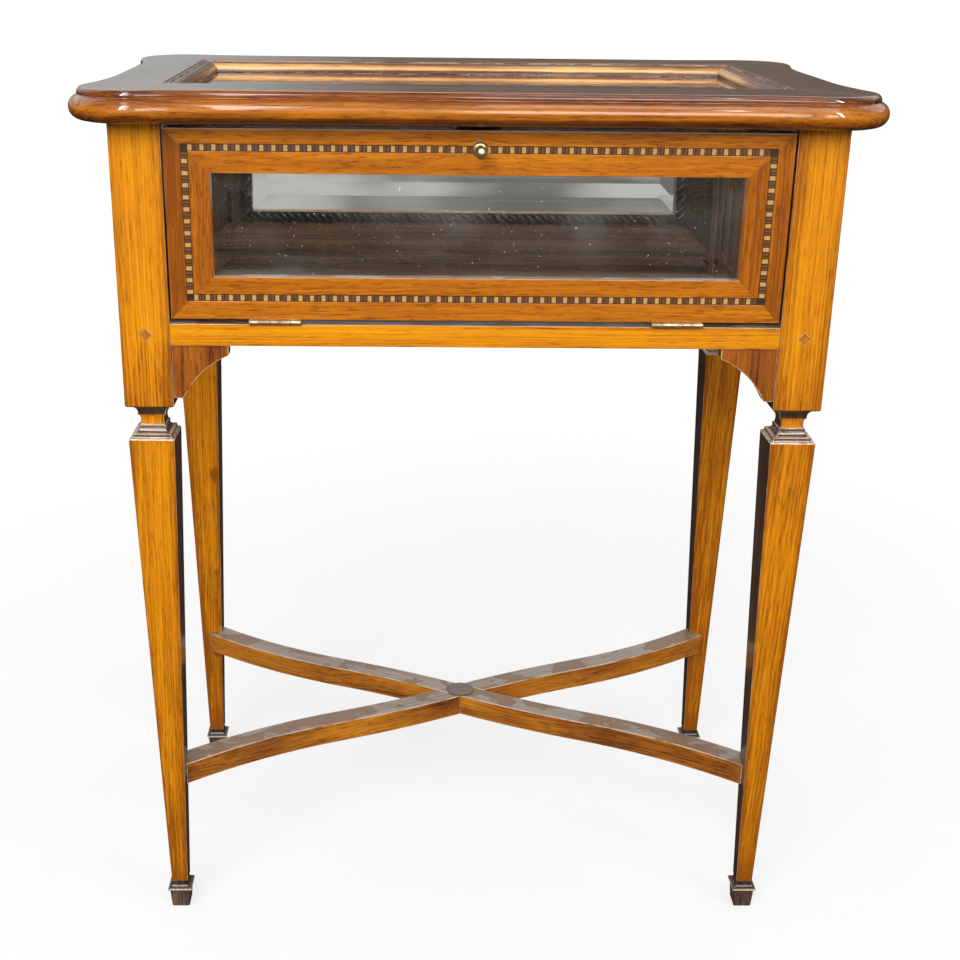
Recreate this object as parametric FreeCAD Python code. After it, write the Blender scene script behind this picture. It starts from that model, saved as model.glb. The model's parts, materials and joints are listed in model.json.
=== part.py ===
import FreeCAD, Part
import math
import os

# A glazed display table: four square tapered legs carry a shallow glass case with a moulded, glazed top.
# The front of the case is a framed glass door that is hinged along its bottom edge and drops forward.
# Two curved stretchers cross under the case and are halved together in the middle.
#
# Millimetres. X runs across the front, Y runs back from the front, Z is up.
# The origin is on the floor, under the middle of the table.

V = FreeCAD.Vector

# ---------------------------------------------------------------- driving dimensions

# Carcase, measured over the outside of the legs
case_width = 585.0
case_depth = 322.0
leg_height = 745.3
case_height = 181.3

# Legs: a square block beside the case, a moulded neck, and a taper down to a small foot
leg_square = 41.0
block_below_bracket = 8.0
block_round = 2.0
neck_height = 29.2
neck_square = 19.2
neck_waist = 1.0
neck_fillet = 1.2
neck_bead = 1.6
neck_bead_height = 2.4
neck_chamfer = 1.0
neck_shoulder = 2.8
neck_shoulder_rise = 1.6
neck_lower_cove = 4.0
neck_cap_height = 8.0
taper_top_square = 38.7
ankle_square = 15.2
leg_tenon_square = 15.0
leg_tenon_height = 11.0

# Feet
foot_height = 29.0
foot_toe_square = 16.6
foot_toe_round = 2.4
foot_flare = 1.2
foot_collar_square = 22.2
foot_collar_z = 20.4
foot_collar_cove = 1.4
foot_collar_edge = 1.9
foot_neck_margin = 1.8
foot_neck_rise = 0.7

# Frame of rails under the case
rail_height = 18.5
rail_thickness = 20.0
rail_tenon_thickness = 10.0
rail_tenon_length = 29.0
rail_tenon_shoulder = 4.0
rail_tenon_edge = 2.0
tenon_spacing = 3.0
peg_square = 8.2
peg_proud = 0.3

# Floor of the case, laid in a rebate along the rails
floor_thickness = 8.0
floor_ledge = 6.0
floor_ledge_height = 5.0
floor_clearance = 0.5

# Brackets in the corners below the rails
bracket_length = 47.0
bracket_drop = 46.0
bracket_tip = 9.0
bracket_foot = 8.0
bracket_hollow = 5.0
bracket_thickness = 14.0
bracket_setback = 2.0

# Glazed frames, of one section for the door and the three fixed sides
frame_thickness = 17.0
frame_setback = 1.0
frame_lip = 10.0
frame_rebate = 5.0
door_stile = 36.0
door_rail = 35.0
door_side_gap = 1.5
door_top_gap = 5.3
door_bottom_gap = 4.0

# Bevelled glass
glass_thickness = 4.0
glass_edge_thickness = 2.2
glass_bevel = 20.0
glass_clearance = 0.5

# Beads that hold the glass
rope_bead_width = 11.5
rope_bead_height = 5.0
rope_bead_side = 1.0
door_bead_round = 2.0

# Line of inlay let into the face of the door
inlay_inset_side = 13.6
inlay_inset_top = 12.0
inlay_inset_bottom = 15.0
inlay_width = 5.9
inlay_thickness = 0.8

# Knob
knob_plate_radius = 6.7
knob_plate_face_radius = 4.8
knob_plate_thickness = 1.6
knob_plate_rim = 0.6
knob_neck_radius = 2.4
knob_neck_clearance = 0.05
knob_ball_radius = 5.3
knob_reach = 17.0
knob_stud_radius = 2.0
knob_stud_length = 12.0

# Butt hinges along the bottom of the door
hinge_length = 42.0
hinge_inset = 64.0
hinge_pin_radius = 1.1
hinge_barrel_radius = 2.2
hinge_pin_clearance = 0.05
hinge_barrel_clearance = 0.3
hinge_leaf_thickness = 1.2
hinge_leaf_width = 11.0
hinge_leaf_setback = 0.6
hinge_knuckles = 5
hinge_knuckle_gap = 0.3
hinge_screws_per_leaf = 3
hinge_screw_head_radius = 2.2
hinge_screw_shank_radius = 1.1
hinge_screw_length = 9.0

# Door stop, and a magnetic catch between it and the door
stop_width = 36.0
stop_thickness = 12.0
stop_margin = 4.0
catch_below_door_top = 6.5
catch_gap = 0.4
magnet_radius = 4.0
magnet_length = 6.0
keeper_radius = 4.5
keeper_thickness = 1.0

# Table top
overhang_side = 20.4
overhang_front = 25.9
bullnose_thickness = 19.5
top_ledge = 7.1
top_ledge_rise = 1.2
ovolo_radius = 4.5
ear_projection_side = 11.4
ear_projection_front = 7.6
ear_radius = 52.0
waist_radius = 332.0
top_frame_side = 47.8
top_frame_front = 53.0
top_glass_thickness = 4.0
top_glass_lip = 12.0
top_bead_width = 15.0
top_bead_height = 10.6
top_bead_sunk = 0.6
top_bead_flat = 3.5
top_bead_quirk = 0.7

# Curved stretchers
stretcher_top_z = 155.0
stretcher_thickness = 21.0
stretcher_width = 22.0
stretcher_flex_share = 0.46
stretcher_flex_offset = 5.0
stretcher_flex_turn = 6.0
stretcher_lap = 7.0
stretcher_spigot_radius = 3.5
stretcher_spigot_length = 8.0
button_radius = 13.5
button_thickness = 1.2
button_edge = 0.5
button_spigot_radius = 3.0
button_spigot_length = 14.0

# How far a curved stretch of an outline bows from its chord, as a share of the chord.
# Outwards is positive, for an outline that runs upwards with its solid on the left.
ROUND = (math.sqrt(2) - 1) / 2
HOLLOW = -ROUND
SWELL = 0.09

# Extra length on a cutting shape, so that it passes right through what it cuts
CUT_MARGIN = 5.0
# Kept off a rounding so that it leaves a sliver of flat and stays a sound solid
ROUND_MARGIN = 0.05

# ---------------------------------------------------------------- places worked out from them

half_width = case_width / 2
half_depth = case_depth / 2
leg_x = half_width - leg_square / 2
leg_y = half_depth - leg_square / 2
bay_x = half_width - leg_square
bay_y = half_depth - leg_square

rail_bottom_z = leg_height - case_height
rail_top_z = rail_bottom_z + rail_height
rail_middle_z = rail_bottom_z + rail_height / 2
floor_bottom_z = rail_bottom_z + floor_ledge_height
block_bottom_z = rail_bottom_z - bracket_drop - block_below_bracket
taper_top_z = block_bottom_z - neck_height
side_tenon_length = leg_square - rail_tenon_shoulder - rail_tenon_thickness - tenon_spacing
peg_length = peg_proud + rail_tenon_shoulder + rail_tenon_thickness

door_half_x = bay_x - door_side_gap
door_bottom_z = rail_top_z + door_bottom_gap
door_top_z = leg_height - door_top_gap
sight_bottom_z = door_bottom_z + door_rail
sight_top_z = door_top_z - door_rail
sight_half_height = (sight_top_z - sight_bottom_z) / 2
sight_middle_z = (sight_top_z + sight_bottom_z) / 2
sight_half_x = door_half_x - door_stile
sight_half_y = bay_y - door_side_gap - door_stile
frame_face_x = half_width - frame_setback
frame_face_y = half_depth - frame_setback
door_back_y = -frame_face_y + frame_thickness

glass_drop = glass_thickness - glass_edge_thickness
glass_lap = frame_rebate - glass_clearance
glass_edge_depth = frame_lip + glass_drop * glass_lap / glass_bevel
glass_face_depth = glass_edge_depth - glass_drop
glass_back_depth = glass_face_depth + glass_thickness

top_half_x = half_width + overhang_side
top_half_y = half_depth + overhang_front
ear_x = top_half_x + ear_projection_side - ear_radius
ear_y = top_half_y + ear_projection_front - ear_radius
bullnose_top_z = leg_height + bullnose_thickness
top_surface_z = bullnose_top_z + top_ledge_rise + ovolo_radius
top_opening_x = top_half_x - top_ledge - ovolo_radius - top_frame_side
top_opening_y = top_half_y - top_ledge - ovolo_radius - top_frame_front
top_glass_z = top_surface_z - top_bead_height - top_glass_thickness

hinge_y = -frame_face_y - hinge_barrel_radius - hinge_barrel_clearance
hinge_z = rail_top_z + door_bottom_gap / 2
hinge_x = door_half_x - hinge_inset - hinge_length / 2
leaf_front_y = hinge_y + hinge_barrel_radius + hinge_leaf_setback

inlay_half_x = door_half_x - inlay_inset_side - inlay_width
inlay_top_z = door_top_z - inlay_inset_top - inlay_width
inlay_bottom_z = door_bottom_z + inlay_inset_bottom + inlay_width
inlay_half_height = (inlay_top_z - inlay_bottom_z) / 2
inlay_middle_z = (inlay_top_z + inlay_bottom_z) / 2

knob_z = inlay_top_z + inlay_width / 2
catch_z = door_top_z - catch_below_door_top
stop_face_y = door_back_y + catch_gap
stop_bottom_z = catch_z - magnet_radius - stop_margin

ORIGIN = V(0, 0, 0)
ABOUT_X = V(1, 0, 0)
ABOUT_Y = V(0, 1, 0)
ABOUT_Z = V(0, 0, 1)
CORNERS = {"front_left": (-1, -1), "front_right": (1, -1), "back_left": (-1, 1), "back_right": (1, 1)}
HEADINGS = {"front": 0, "right": 90, "back": 180, "left": 270}
MEMBERS = ("bottom_rail", "right_stile", "top_rail", "left_stile")

os.makedirs("parts", exist_ok=True)


def save(name, shape):
    shape.exportStep(f"parts/{name}.step")


def box(x0, x1, y0, y1, z0, z1):
    return Part.makeBox(x1 - x0, y1 - y0, z1 - z0, V(x0, y0, z0))


def fuse_all(shapes):
    return shapes[0].multiFuse(shapes[1:]).removeSplitter()


def main_solid(shape):
    return max(shape.Solids, key=lambda solid: solid.Volume)


def group(shapes):
    return Part.makeCompound(shapes)


def mirrored(shape):
    return shape.mirror(ORIGIN, ABOUT_X)


def edges_at(shape, z):
    return [edge for edge in shape.Edges if all(abs(vertex.Z - z) < ROUND_MARGIN for vertex in edge.Vertexes)]


def outline(points, place):
    """Edges from point to point. Each point is (u, w, bow), and place turns (u, w) into a position."""
    edges = []
    for (u0, w0, _), (u1, w1, bow) in zip(points, points[1:]):
        if bow:
            middle = ((u0 + u1) / 2 + bow * (w1 - w0), (w0 + w1) / 2 - bow * (u1 - u0))
            edges.append(Part.Arc(place(u0, w0), place(*middle), place(u1, w1)).toShape())
        else:
            edges.append(Part.makeLine(place(u0, w0), place(u1, w1)))
    return edges


def closed_face(points, place):
    return Part.Face(Part.Wire(outline(points + [(*points[0][:2], 0)], place)))


# ---------------------------------------------------------------- legs and feet


def square_turning(points):
    """A square upright whose four faces all follow one moulding, given from the bottom upwards."""
    half = [(0, points[0][1], 0), (*points[0][:2], 0)] + points[1:] + [(0, points[-1][1], 0)]
    right = outline(half, lambda u, w: V(u, 0, w))
    left = [mirrored(edge) for edge in right]
    face = Part.Face(Part.Wire(Part.__sortEdges__(right + left)))
    reach = 2 * max(point[0] for point in points)
    slab = face.translated(V(0, -reach, 0)).extrude(V(0, 2 * reach, 0))
    return main_solid(slab.common(slab.rotated(ORIGIN, ABOUT_Z, 90)))


def leg_blank():
    taper = taper_top_square / 2
    shoulder = taper - neck_shoulder
    neck = neck_square / 2
    bead = neck + neck_bead
    cap = neck + neck_waist + neck_fillet
    shoulder_z = taper_top_z + neck_shoulder + neck_shoulder_rise
    bead_z = shoulder_z + neck_lower_cove
    neck_z = bead_z + neck_bead_height
    cap_z = block_bottom_z - neck_cap_height
    moulding = [
        (ankle_square / 2, foot_height, 0),
        (taper, taper_top_z, 0),
        (taper - neck_chamfer, taper_top_z + neck_chamfer, 0),
        (shoulder, taper_top_z + neck_shoulder, HOLLOW),
        (shoulder, shoulder_z, 0),
        (bead, bead_z, HOLLOW),
        (bead, neck_z, ROUND),
        (neck + neck_waist, neck_z, 0),
        (neck + neck_waist, cap_z - neck_fillet, -SWELL),
        (cap, cap_z - neck_fillet, 0),
        (cap, cap_z, 0),
        (leg_square / 2 - block_round, block_bottom_z, HOLLOW),
        (leg_square / 2, block_bottom_z + block_round, ROUND),
        (leg_square / 2, leg_height, 0),
    ]
    stub = leg_tenon_square / 2
    tenon = box(-stub, stub, -stub, stub, leg_height, leg_height + leg_tenon_height)
    return fuse_all([square_turning(moulding), tenon])


def foot_blank():
    toe = foot_toe_square / 2
    collar = foot_collar_square / 2
    collar_top_z = foot_collar_z + foot_collar_edge
    moulding = [
        (toe - foot_toe_round, 0, 0),
        (toe, foot_toe_round, ROUND),
        (toe + foot_flare, foot_collar_z - foot_collar_cove, 0),
        (collar, foot_collar_z, HOLLOW),
        (collar, collar_top_z, 0),
        (ankle_square / 2 + foot_neck_margin, collar_top_z + foot_neck_rise, 0),
        (ankle_square / 2, foot_height, HOLLOW),
    ]
    return square_turning(moulding)


# ---------------------------------------------------------------- rails, pegs, floor, brackets


def facing(side, shape):
    """Turns a shape that was made for the front so that it belongs to the named side."""
    return shape.rotated(ORIGIN, ABOUT_Z, HEADINGS[side])


def reach_of(side):
    """Half the clear length between the legs on one side, and how far that side is from the middle."""
    return (bay_x, half_depth) if side in ("front", "back") else (bay_y, half_width)


def rail(side):
    bay, outer = reach_of(side)
    tenon = rail_tenon_length if side in ("front", "back") else side_tenon_length
    inner_y = -outer + rail_thickness
    tenon_y = -outer + rail_tenon_shoulder
    body = box(-bay, bay, -outer, inner_y, rail_bottom_z, rail_top_z)
    rebate = box(-bay, bay, inner_y - floor_ledge, inner_y, floor_bottom_z, rail_top_z)
    tongue = box(-bay - tenon, bay + tenon, tenon_y, tenon_y + rail_tenon_thickness,
                 rail_bottom_z + rail_tenon_edge, rail_top_z - rail_tenon_edge)
    return facing(side, fuse_all([body.cut(rebate), tongue]))


def pegs(side):
    """Two square pegs, turned on edge, that pin one rail's tenons."""
    bay, outer = reach_of(side)
    place = bay + leg_square / 2
    half = peg_square / 2
    peg = box(-half, half, -outer - peg_proud, -outer - peg_proud + peg_length, -half, half)
    peg = peg.rotated(ORIGIN, ABOUT_Y, 45)
    return [facing(side, peg.translated(V(x, 0, rail_middle_z))) for x in (-place, place)]


def floor_board():
    edge_x = half_width - rail_thickness + floor_ledge - floor_clearance
    edge_y = half_depth - rail_thickness + floor_ledge - floor_clearance
    top_z = floor_bottom_z + floor_thickness
    board = box(-edge_x, edge_x, -edge_y, edge_y, floor_bottom_z, top_z)
    notches = []
    for sx, sy in CORNERS.values():
        xs = sorted((sx * (bay_x - floor_clearance), sx * half_width))
        ys = sorted((sy * (bay_y - floor_clearance), sy * half_depth))
        notches.append(box(*xs, *ys, floor_bottom_z, top_z))
    return board.cut(notches)


def brackets(side):
    """A left and a right bracket, in the corners between one rail and its legs."""
    bay, outer = reach_of(side)
    face_y = -outer + bracket_setback
    hollow = bracket_hollow / math.hypot(bracket_length - bracket_foot, bracket_drop - bracket_tip)
    shape = [
        (0, 0, 0),
        (0, -bracket_drop, 0),
        (bracket_foot, -bracket_drop, 0),
        (bracket_length, -bracket_tip, -hollow),
        (bracket_length, 0, 0),
    ]
    left = closed_face(shape, lambda u, w: V(-bay + u, face_y, rail_bottom_z + w))
    left = left.extrude(V(0, bracket_thickness, 0))
    return [facing(side, left), facing(side, mirrored(left))]


# ---------------------------------------------------------------- mitred rings: frames, beads, inlay


def mitred_ring(half_u, half_v, widths, section):
    """Four mitred lengths round a rectangle: bottom, right, top and left, lying flat round the origin.

    section gives the outline of the cross-section for a width, as (distance outwards from the
    rectangle, height, bow). widths are those of the four lengths, in the same order.
    """
    lengths = []
    for turn, width in enumerate(widths):
        along, out = (half_u, half_v) if turn % 2 == 0 else (half_v, half_u)
        left_end = -along - widths[turn - 1]
        right_end = along + widths[(turn + 1) % 4]
        points = section(width)
        face = closed_face(points, lambda u, w: V(left_end, -out - u, w))
        bar = face.extrude(V(right_end - left_end, 0, 0))
        low = min(point[1] for point in points) - CUT_MARGIN
        high = max(point[1] for point in points) + CUT_MARGIN
        ends = [V(-along, -out, low), V(left_end, -out - width, low), V(right_end, -out - width, low),
                V(along, -out, low)]
        wedge = Part.Face(Part.makePolygon(ends + ends[:1])).extrude(V(0, 0, high - low))
        lengths.append(main_solid(bar.common(wedge)).rotated(ORIGIN, ABOUT_Z, 90 * turn))
    return lengths


def stood_up(shape, side):
    """Stands a flat piece up as part of one side of the case, its face outwards."""
    distance = frame_face_y if side in ("front", "back") else frame_face_x
    upright = shape.rotated(ORIGIN, ABOUT_X, 90)
    return facing(side, upright.translated(V(0, -distance, sight_middle_z)))


def frame_section(width):
    return [(0, 0, 0), (0, -frame_lip, 0), (frame_rebate, -frame_lip, 0),
            (frame_rebate, -frame_thickness, 0), (width, -frame_thickness, 0), (width, 0, 0)]


def door_bead_section(width):
    return [(0, -glass_back_depth, 0), (0, -frame_thickness + door_bead_round, 0),
            (door_bead_round, -frame_thickness, ROUND), (width, -frame_thickness, 0),
            (width, -glass_back_depth, 0)]


def rope_bead_section(width):
    """Lies on the inside face of a fixed frame, and reaches into its rebate to hold the glass."""
    side = -frame_thickness - rope_bead_side
    crown = (rope_bead_height - rope_bead_side) / width
    return [(0, -glass_back_depth, 0), (0, side, 0), (width, side, crown), (width, -frame_thickness, 0),
            (frame_rebate, -frame_thickness, 0), (frame_rebate, -glass_back_depth, 0)]


def inlay_section(width):
    return [(0, 0, 0), (0, -inlay_thickness, 0), (width, -inlay_thickness, 0), (width, 0, 0)]


def top_bead_section(width):
    """A flat along the frame, a small step down, then a quarter round that falls to the glass."""
    low = top_surface_z - top_bead_height
    high = top_surface_z - top_bead_sunk
    run = width - top_bead_flat
    return [(0, low, 0), (width, low, 0), (width, high, 0), (run, high, 0), (run, high - top_bead_quirk, 0),
            (0, low + top_bead_quirk, ROUND)]


def bevelled_glass(half_u, half_v):
    edge_u = half_u + glass_lap
    edge_v = half_v + glass_lap
    rim = box(-edge_u, edge_u, -edge_v, edge_v, -glass_back_depth, -glass_edge_depth)
    rectangles = []
    for inset, depth in ((0, glass_edge_depth), (glass_bevel, glass_face_depth)):
        u, v = edge_u - inset, edge_v - inset
        corners = [V(-u, -v, -depth), V(u, -v, -depth), V(u, v, -depth), V(-u, v, -depth)]
        rectangles.append(Part.makePolygon(corners + corners[:1]))
    return fuse_all([rim, Part.makeLoft(rectangles, True, True)])


# ---------------------------------------------------------------- door furniture


def turned_for_knob(points):
    """A turning on the knob's axis, from (radius, distance out of the door) points."""
    wire = Part.makePolygon([V(radius, -out, 0) for radius, out in points + points[:1]])
    turning = Part.Face(wire).revolve(ORIGIN, ABOUT_Y, 360)
    return turning.translated(V(0, -frame_face_y, knob_z))


def knob_plate():
    bore = knob_neck_radius + knob_neck_clearance
    return turned_for_knob([(bore, 0), (knob_plate_radius, 0), (knob_plate_radius, knob_plate_rim),
                            (knob_plate_face_radius, knob_plate_thickness), (bore, knob_plate_thickness)])


def knob():
    stem = turned_for_knob([(0, -knob_stud_length), (knob_stud_radius, -knob_stud_length),
                            (knob_stud_radius, 0), (knob_neck_radius, 0),
                            (knob_neck_radius, knob_reach), (0, knob_reach)])
    ball = Part.makeSphere(knob_ball_radius, V(0, -frame_face_y - knob_reach, knob_z))
    return fuse_all([stem, ball])


def along_hinge(radius, low, high):
    return Part.makeCylinder(radius, high - low, V(low, hinge_y, hinge_z), ABOUT_X)


def hinge_ends(centre_x):
    return centre_x - hinge_length / 2, centre_x + hinge_length / 2


def hinge_leaf(centre_x, on_door):
    """One leaf with its knuckles. The rail's leaf has the outer knuckles and grips the pin."""
    start, end = hinge_ends(centre_x)
    pitch = (hinge_length + hinge_knuckle_gap) / hinge_knuckles
    base_z = door_bottom_z - hinge_leaf_thickness if on_door else rail_top_z
    top_z = base_z + hinge_leaf_thickness
    pieces = [box(start, end, leaf_front_y, leaf_front_y + hinge_leaf_width, base_z, top_z)]
    for index in range(1 if on_door else 0, hinge_knuckles, 2):
        low = start + index * pitch
        high = low + pitch - hinge_knuckle_gap
        pieces.append(along_hinge(hinge_barrel_radius, low, high))
        pieces.append(box(low, high, hinge_y, leaf_front_y, base_z, top_z))
    bore = hinge_pin_radius + (hinge_pin_clearance if on_door else 0)
    return fuse_all(pieces).cut([along_hinge(bore, start, end)] + leaf_screws(centre_x, on_door))


def leaf_screws(centre_x, on_door):
    """Countersunk screws through one leaf, with their heads flush in it."""
    into_wood = ABOUT_Z if on_door else -ABOUT_Z
    head_z = door_bottom_z - hinge_leaf_thickness if on_door else rail_top_z + hinge_leaf_thickness
    pitch = hinge_length / hinge_screws_per_leaf
    taper = hinge_screw_head_radius - hinge_screw_shank_radius
    screws = []
    for index in range(hinge_screws_per_leaf):
        x = centre_x + (index - (hinge_screws_per_leaf - 1) / 2) * pitch
        place = V(x, leaf_front_y + hinge_leaf_width / 2, head_z)
        head = Part.makeCone(hinge_screw_head_radius, hinge_screw_shank_radius, taper, place, into_wood)
        shank = Part.makeCylinder(hinge_screw_shank_radius, hinge_screw_length, place, into_wood)
        screws.append(fuse_all([head, shank]))
    return screws


# ---------------------------------------------------------------- table top


def arc_round(centre, start, end):
    """The shorter arc from start to end round a centre."""
    bisector = (start - centre).normalize() + (end - centre).normalize()
    middle = centre + bisector.normalize() * (start - centre).Length
    return Part.Arc(start, middle, end).toShape()


def top_outline(inset):
    """The plan of the top: straight sides that sweep out to a rounded ear at each corner."""
    a = top_half_x - inset
    b = top_half_y - inset
    ear = ear_radius - inset
    waist = waist_radius + inset
    corner = V(ear_x, ear_y, 0)
    side_centre = V(a + waist, ear_y - math.sqrt((ear + waist) ** 2 - (a + waist - ear_x) ** 2), 0)
    front_centre = V(ear_x - math.sqrt((ear + waist) ** 2 - (b + waist - ear_y) ** 2), b + waist, 0)
    side_end = V(a, side_centre.y, 0)
    front_end = V(front_centre.x, b, 0)
    side_meet = corner + (side_centre - corner).normalize() * ear
    front_meet = corner + (front_centre - corner).normalize() * ear
    right_back = [
        arc_round(side_centre, side_end, side_meet),
        arc_round(corner, side_meet, front_meet),
        arc_round(front_centre, front_meet, front_end),
    ]
    right = right_back + [edge.mirror(ORIGIN, ABOUT_Y) for edge in right_back]
    right.append(Part.makeLine(V(a, -side_end.y, 0), side_end))
    spans = [Part.makeLine(V(-front_end.x, y, 0), V(front_end.x, y, 0)) for y in (-b, b)]
    return Part.Wire(Part.__sortEdges__(right + [mirrored(edge) for edge in right] + spans))


def top_slab():
    """The whole top, moulded and rebated, before it is cut into its four members."""
    middle = bullnose_thickness / 2
    lower = Part.Face(top_outline(0)).extrude(V(0, 0, bullnose_thickness))
    rims = edges_at(lower, 0) + edges_at(lower, bullnose_thickness)
    lower = lower.makeFillet(middle - ROUND_MARGIN, rims)
    upper_height = middle + top_ledge_rise + ovolo_radius
    upper = Part.Face(top_outline(top_ledge)).extrude(V(0, 0, upper_height))
    upper = upper.makeFillet(ovolo_radius - ROUND_MARGIN, edges_at(upper, upper_height))
    slab = lower.fuse(upper.translated(V(0, 0, middle))).translated(V(0, 0, leg_height))
    sight_x = top_opening_x - top_glass_lip
    sight_y = top_opening_y - top_glass_lip
    rebate = box(-top_opening_x, top_opening_x, -top_opening_y, top_opening_y, top_glass_z, top_surface_z)
    sight = box(-sight_x, sight_x, -sight_y, sight_y, leg_height, top_glass_z)
    return slab.cut([rebate, sight])


def top_members():
    """The four members of the top, cut along mitres that run out through the middles of the ears."""
    opening = V(top_opening_x, top_opening_y, 0)
    mitre = (V(ear_x, ear_y, 0) - opening).normalize()
    near = opening - mitre * 2 * top_glass_lip
    far = opening + mitre * top_half_x
    back = [V(-near.x, near.y, 0), near, far, V(-far.x, far.y, 0)]
    right = [V(near.x, -near.y, 0), near, far, V(far.x, -far.y, 0)]
    slab = top_slab()
    low = leg_height - CUT_MARGIN
    members = {}
    for name, corners, turn in (("back", back, 0), ("front", back, 180), ("right", right, 0), ("left", right, 180)):
        wedge = Part.Face(Part.makePolygon(corners + corners[:1])).translated(V(0, 0, low))
        wedge = wedge.extrude(V(0, 0, top_surface_z - low + CUT_MARGIN)).rotated(ORIGIN, ABOUT_Z, turn)
        members[name] = main_solid(slab.common(wedge))
    return members


def top_glass():
    x = top_opening_x - glass_clearance
    y = top_opening_y - glass_clearance
    return box(-x, x, -y, y, top_glass_z, top_glass_z + top_glass_thickness)


# ---------------------------------------------------------------- stretchers


def arc_centre(start, heading, end):
    """Centre of the arc that leaves start on this heading and reaches end."""
    left = V(-math.sin(heading), math.cos(heading), 0)
    step = end - start
    return start + left * (step.dot(step) / (2 * step.dot(left)))


def stretcher_course():
    """The middle line of one half stretcher, from the crossing to the back right leg.

    Two arcs meet at a point of inflection. Returns that point, both centres, the corner of the leg
    where the line ends, and the direction there.
    """
    middle_z = stretcher_top_z - stretcher_thickness / 2
    up_the_leg = (middle_z - foot_height) / (taper_top_z - foot_height)
    leg_half = (ankle_square + (taper_top_square - ankle_square) * up_the_leg) / 2
    end = V(leg_x - leg_half, leg_y - leg_half, 0)
    bearing = math.atan2(end.y, end.x)
    aside = V(math.sin(bearing), -math.cos(bearing), 0)
    flex = end * stretcher_flex_share + aside * stretcher_flex_offset
    heading = bearing - math.radians(stretcher_flex_turn)
    inner_centre = arc_centre(flex, heading, ORIGIN)
    outer_centre = arc_centre(flex, heading, end)
    onward = (end - outer_centre).cross(ABOUT_Z).normalize()
    if onward.dot(end) < 0:
        onward = -onward
    return flex, inner_centre, outer_centre, end, onward


def stretcher_plan():
    """Plan of the stretcher that runs from the front left leg to the back right one."""
    flex, inner_centre, outer_centre, end, onward = stretcher_course()
    aside = onward.cross(ABOUT_Z).normalize()
    half = stretcher_width / 2

    def offset(centre, point, side):
        across = (point - centre).normalize()
        return point + across * (half * side * (1 if across.dot(aside) > 0 else -1))

    borders = []
    for side in (1, -1):
        tip = offset(outer_centre, end, side) + onward * stretcher_lap
        inner = arc_round(inner_centre, offset(inner_centre, ORIGIN, side), offset(inner_centre, flex, side))
        outer = arc_round(outer_centre, offset(outer_centre, flex, side), offset(outer_centre, end, side))
        borders += [inner, outer, Part.makeLine(offset(outer_centre, end, side), tip)]
    cap = end + onward * stretcher_lap
    borders.append(Part.makeLine(cap + aside * half, cap - aside * half))
    turned = [edge.rotated(ORIGIN, ABOUT_Z, 180) for edge in borders]
    return Part.Face(Part.Wire(Part.__sortEdges__(borders + turned)))


def stretcher_spigots():
    """The two round spigots on the ends of the same stretcher, let into the corners of the legs."""
    end, onward = stretcher_course()[3:]
    start = end - onward * stretcher_lap + V(0, 0, stretcher_top_z - stretcher_thickness / 2)
    spigot = Part.makeCylinder(stretcher_spigot_radius, stretcher_lap + stretcher_spigot_length, start, onward)
    return [spigot, spigot.rotated(ORIGIN, ABOUT_Z, 180)]


def button_spigot():
    return Part.makeCylinder(button_spigot_radius, button_spigot_length, V(0, 0, stretcher_top_z), -ABOUT_Z)


def stretchers(legs):
    """The lower and the upper stretcher, halved where they cross and notched round the legs."""
    half = stretcher_thickness / 2
    bottom_z = stretcher_top_z - stretcher_thickness
    plans = [stretcher_plan(), mirrored(stretcher_plan())]
    spigots = [stretcher_spigots(), [mirrored(spigot) for spigot in stretcher_spigots()]]
    pair = []
    for index, halving_z in enumerate((bottom_z + half, bottom_z)):
        bar = plans[index].translated(V(0, 0, bottom_z)).extrude(V(0, 0, stretcher_thickness))
        halving = plans[1 - index].translated(V(0, 0, halving_z)).extrude(V(0, 0, half))
        notched = main_solid(bar.cut([halving, button_spigot()] + legs))
        pair.append(fuse_all([notched] + spigots[index]))
    return pair


def stretcher_button():
    disc = Part.makeCylinder(button_radius, button_thickness, V(0, 0, stretcher_top_z))
    disc = disc.makeFillet(button_edge, edges_at(disc, stretcher_top_z + button_thickness))
    return fuse_all([disc, button_spigot()])


# ---------------------------------------------------------------- the table, piece by piece

# Hinges and their screws come first, because the door and the front rail are drilled for them
hinge_centres = (-hinge_x, hinge_x)
door_screws = [screw for x in hinge_centres for screw in leaf_screws(x, True)]
rail_screws = [screw for x in hinge_centres for screw in leaf_screws(x, False)]
save("hinge_door_leaves", group([hinge_leaf(x, True) for x in hinge_centres]))
save("hinge_rail_leaves", group([hinge_leaf(x, False) for x in hinge_centres]))
save("hinge_pins", group([along_hinge(hinge_pin_radius, *hinge_ends(x)) for x in hinge_centres]))
save("hinge_door_screws", group(door_screws))
save("hinge_rail_screws", group(rail_screws))

# Rails and pegs
rails = {side: rail(side) for side in HEADINGS}
all_pegs = [peg for side in HEADINGS for peg in pegs(side)]
save("leg_pegs", group(all_pegs))
for side, piece in rails.items():
    save(f"rail_{side}", main_solid(piece.cut(all_pegs + rail_screws)))

# Legs and feet, the legs mortised for the rails and bored for the stretchers
spigot_bores = stretcher_spigots() + [mirrored(spigot) for spigot in stretcher_spigots()]
leg = leg_blank()
foot = foot_blank()
legs = []
for corner_name, (sx, sy) in CORNERS.items():
    place = V(sx * leg_x, sy * leg_y, 0)
    legs.append(leg.translated(place))
    save(f"leg_{corner_name}", main_solid(legs[-1].cut(list(rails.values()) + all_pegs + spigot_bores)))
    save(f"foot_{corner_name}", foot.translated(place))

save("floor_board", floor_board())
save("front_brackets", group(brackets("front")))
save("back_brackets", group(brackets("back")))
save("side_brackets", group(brackets("left") + brackets("right")))

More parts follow.
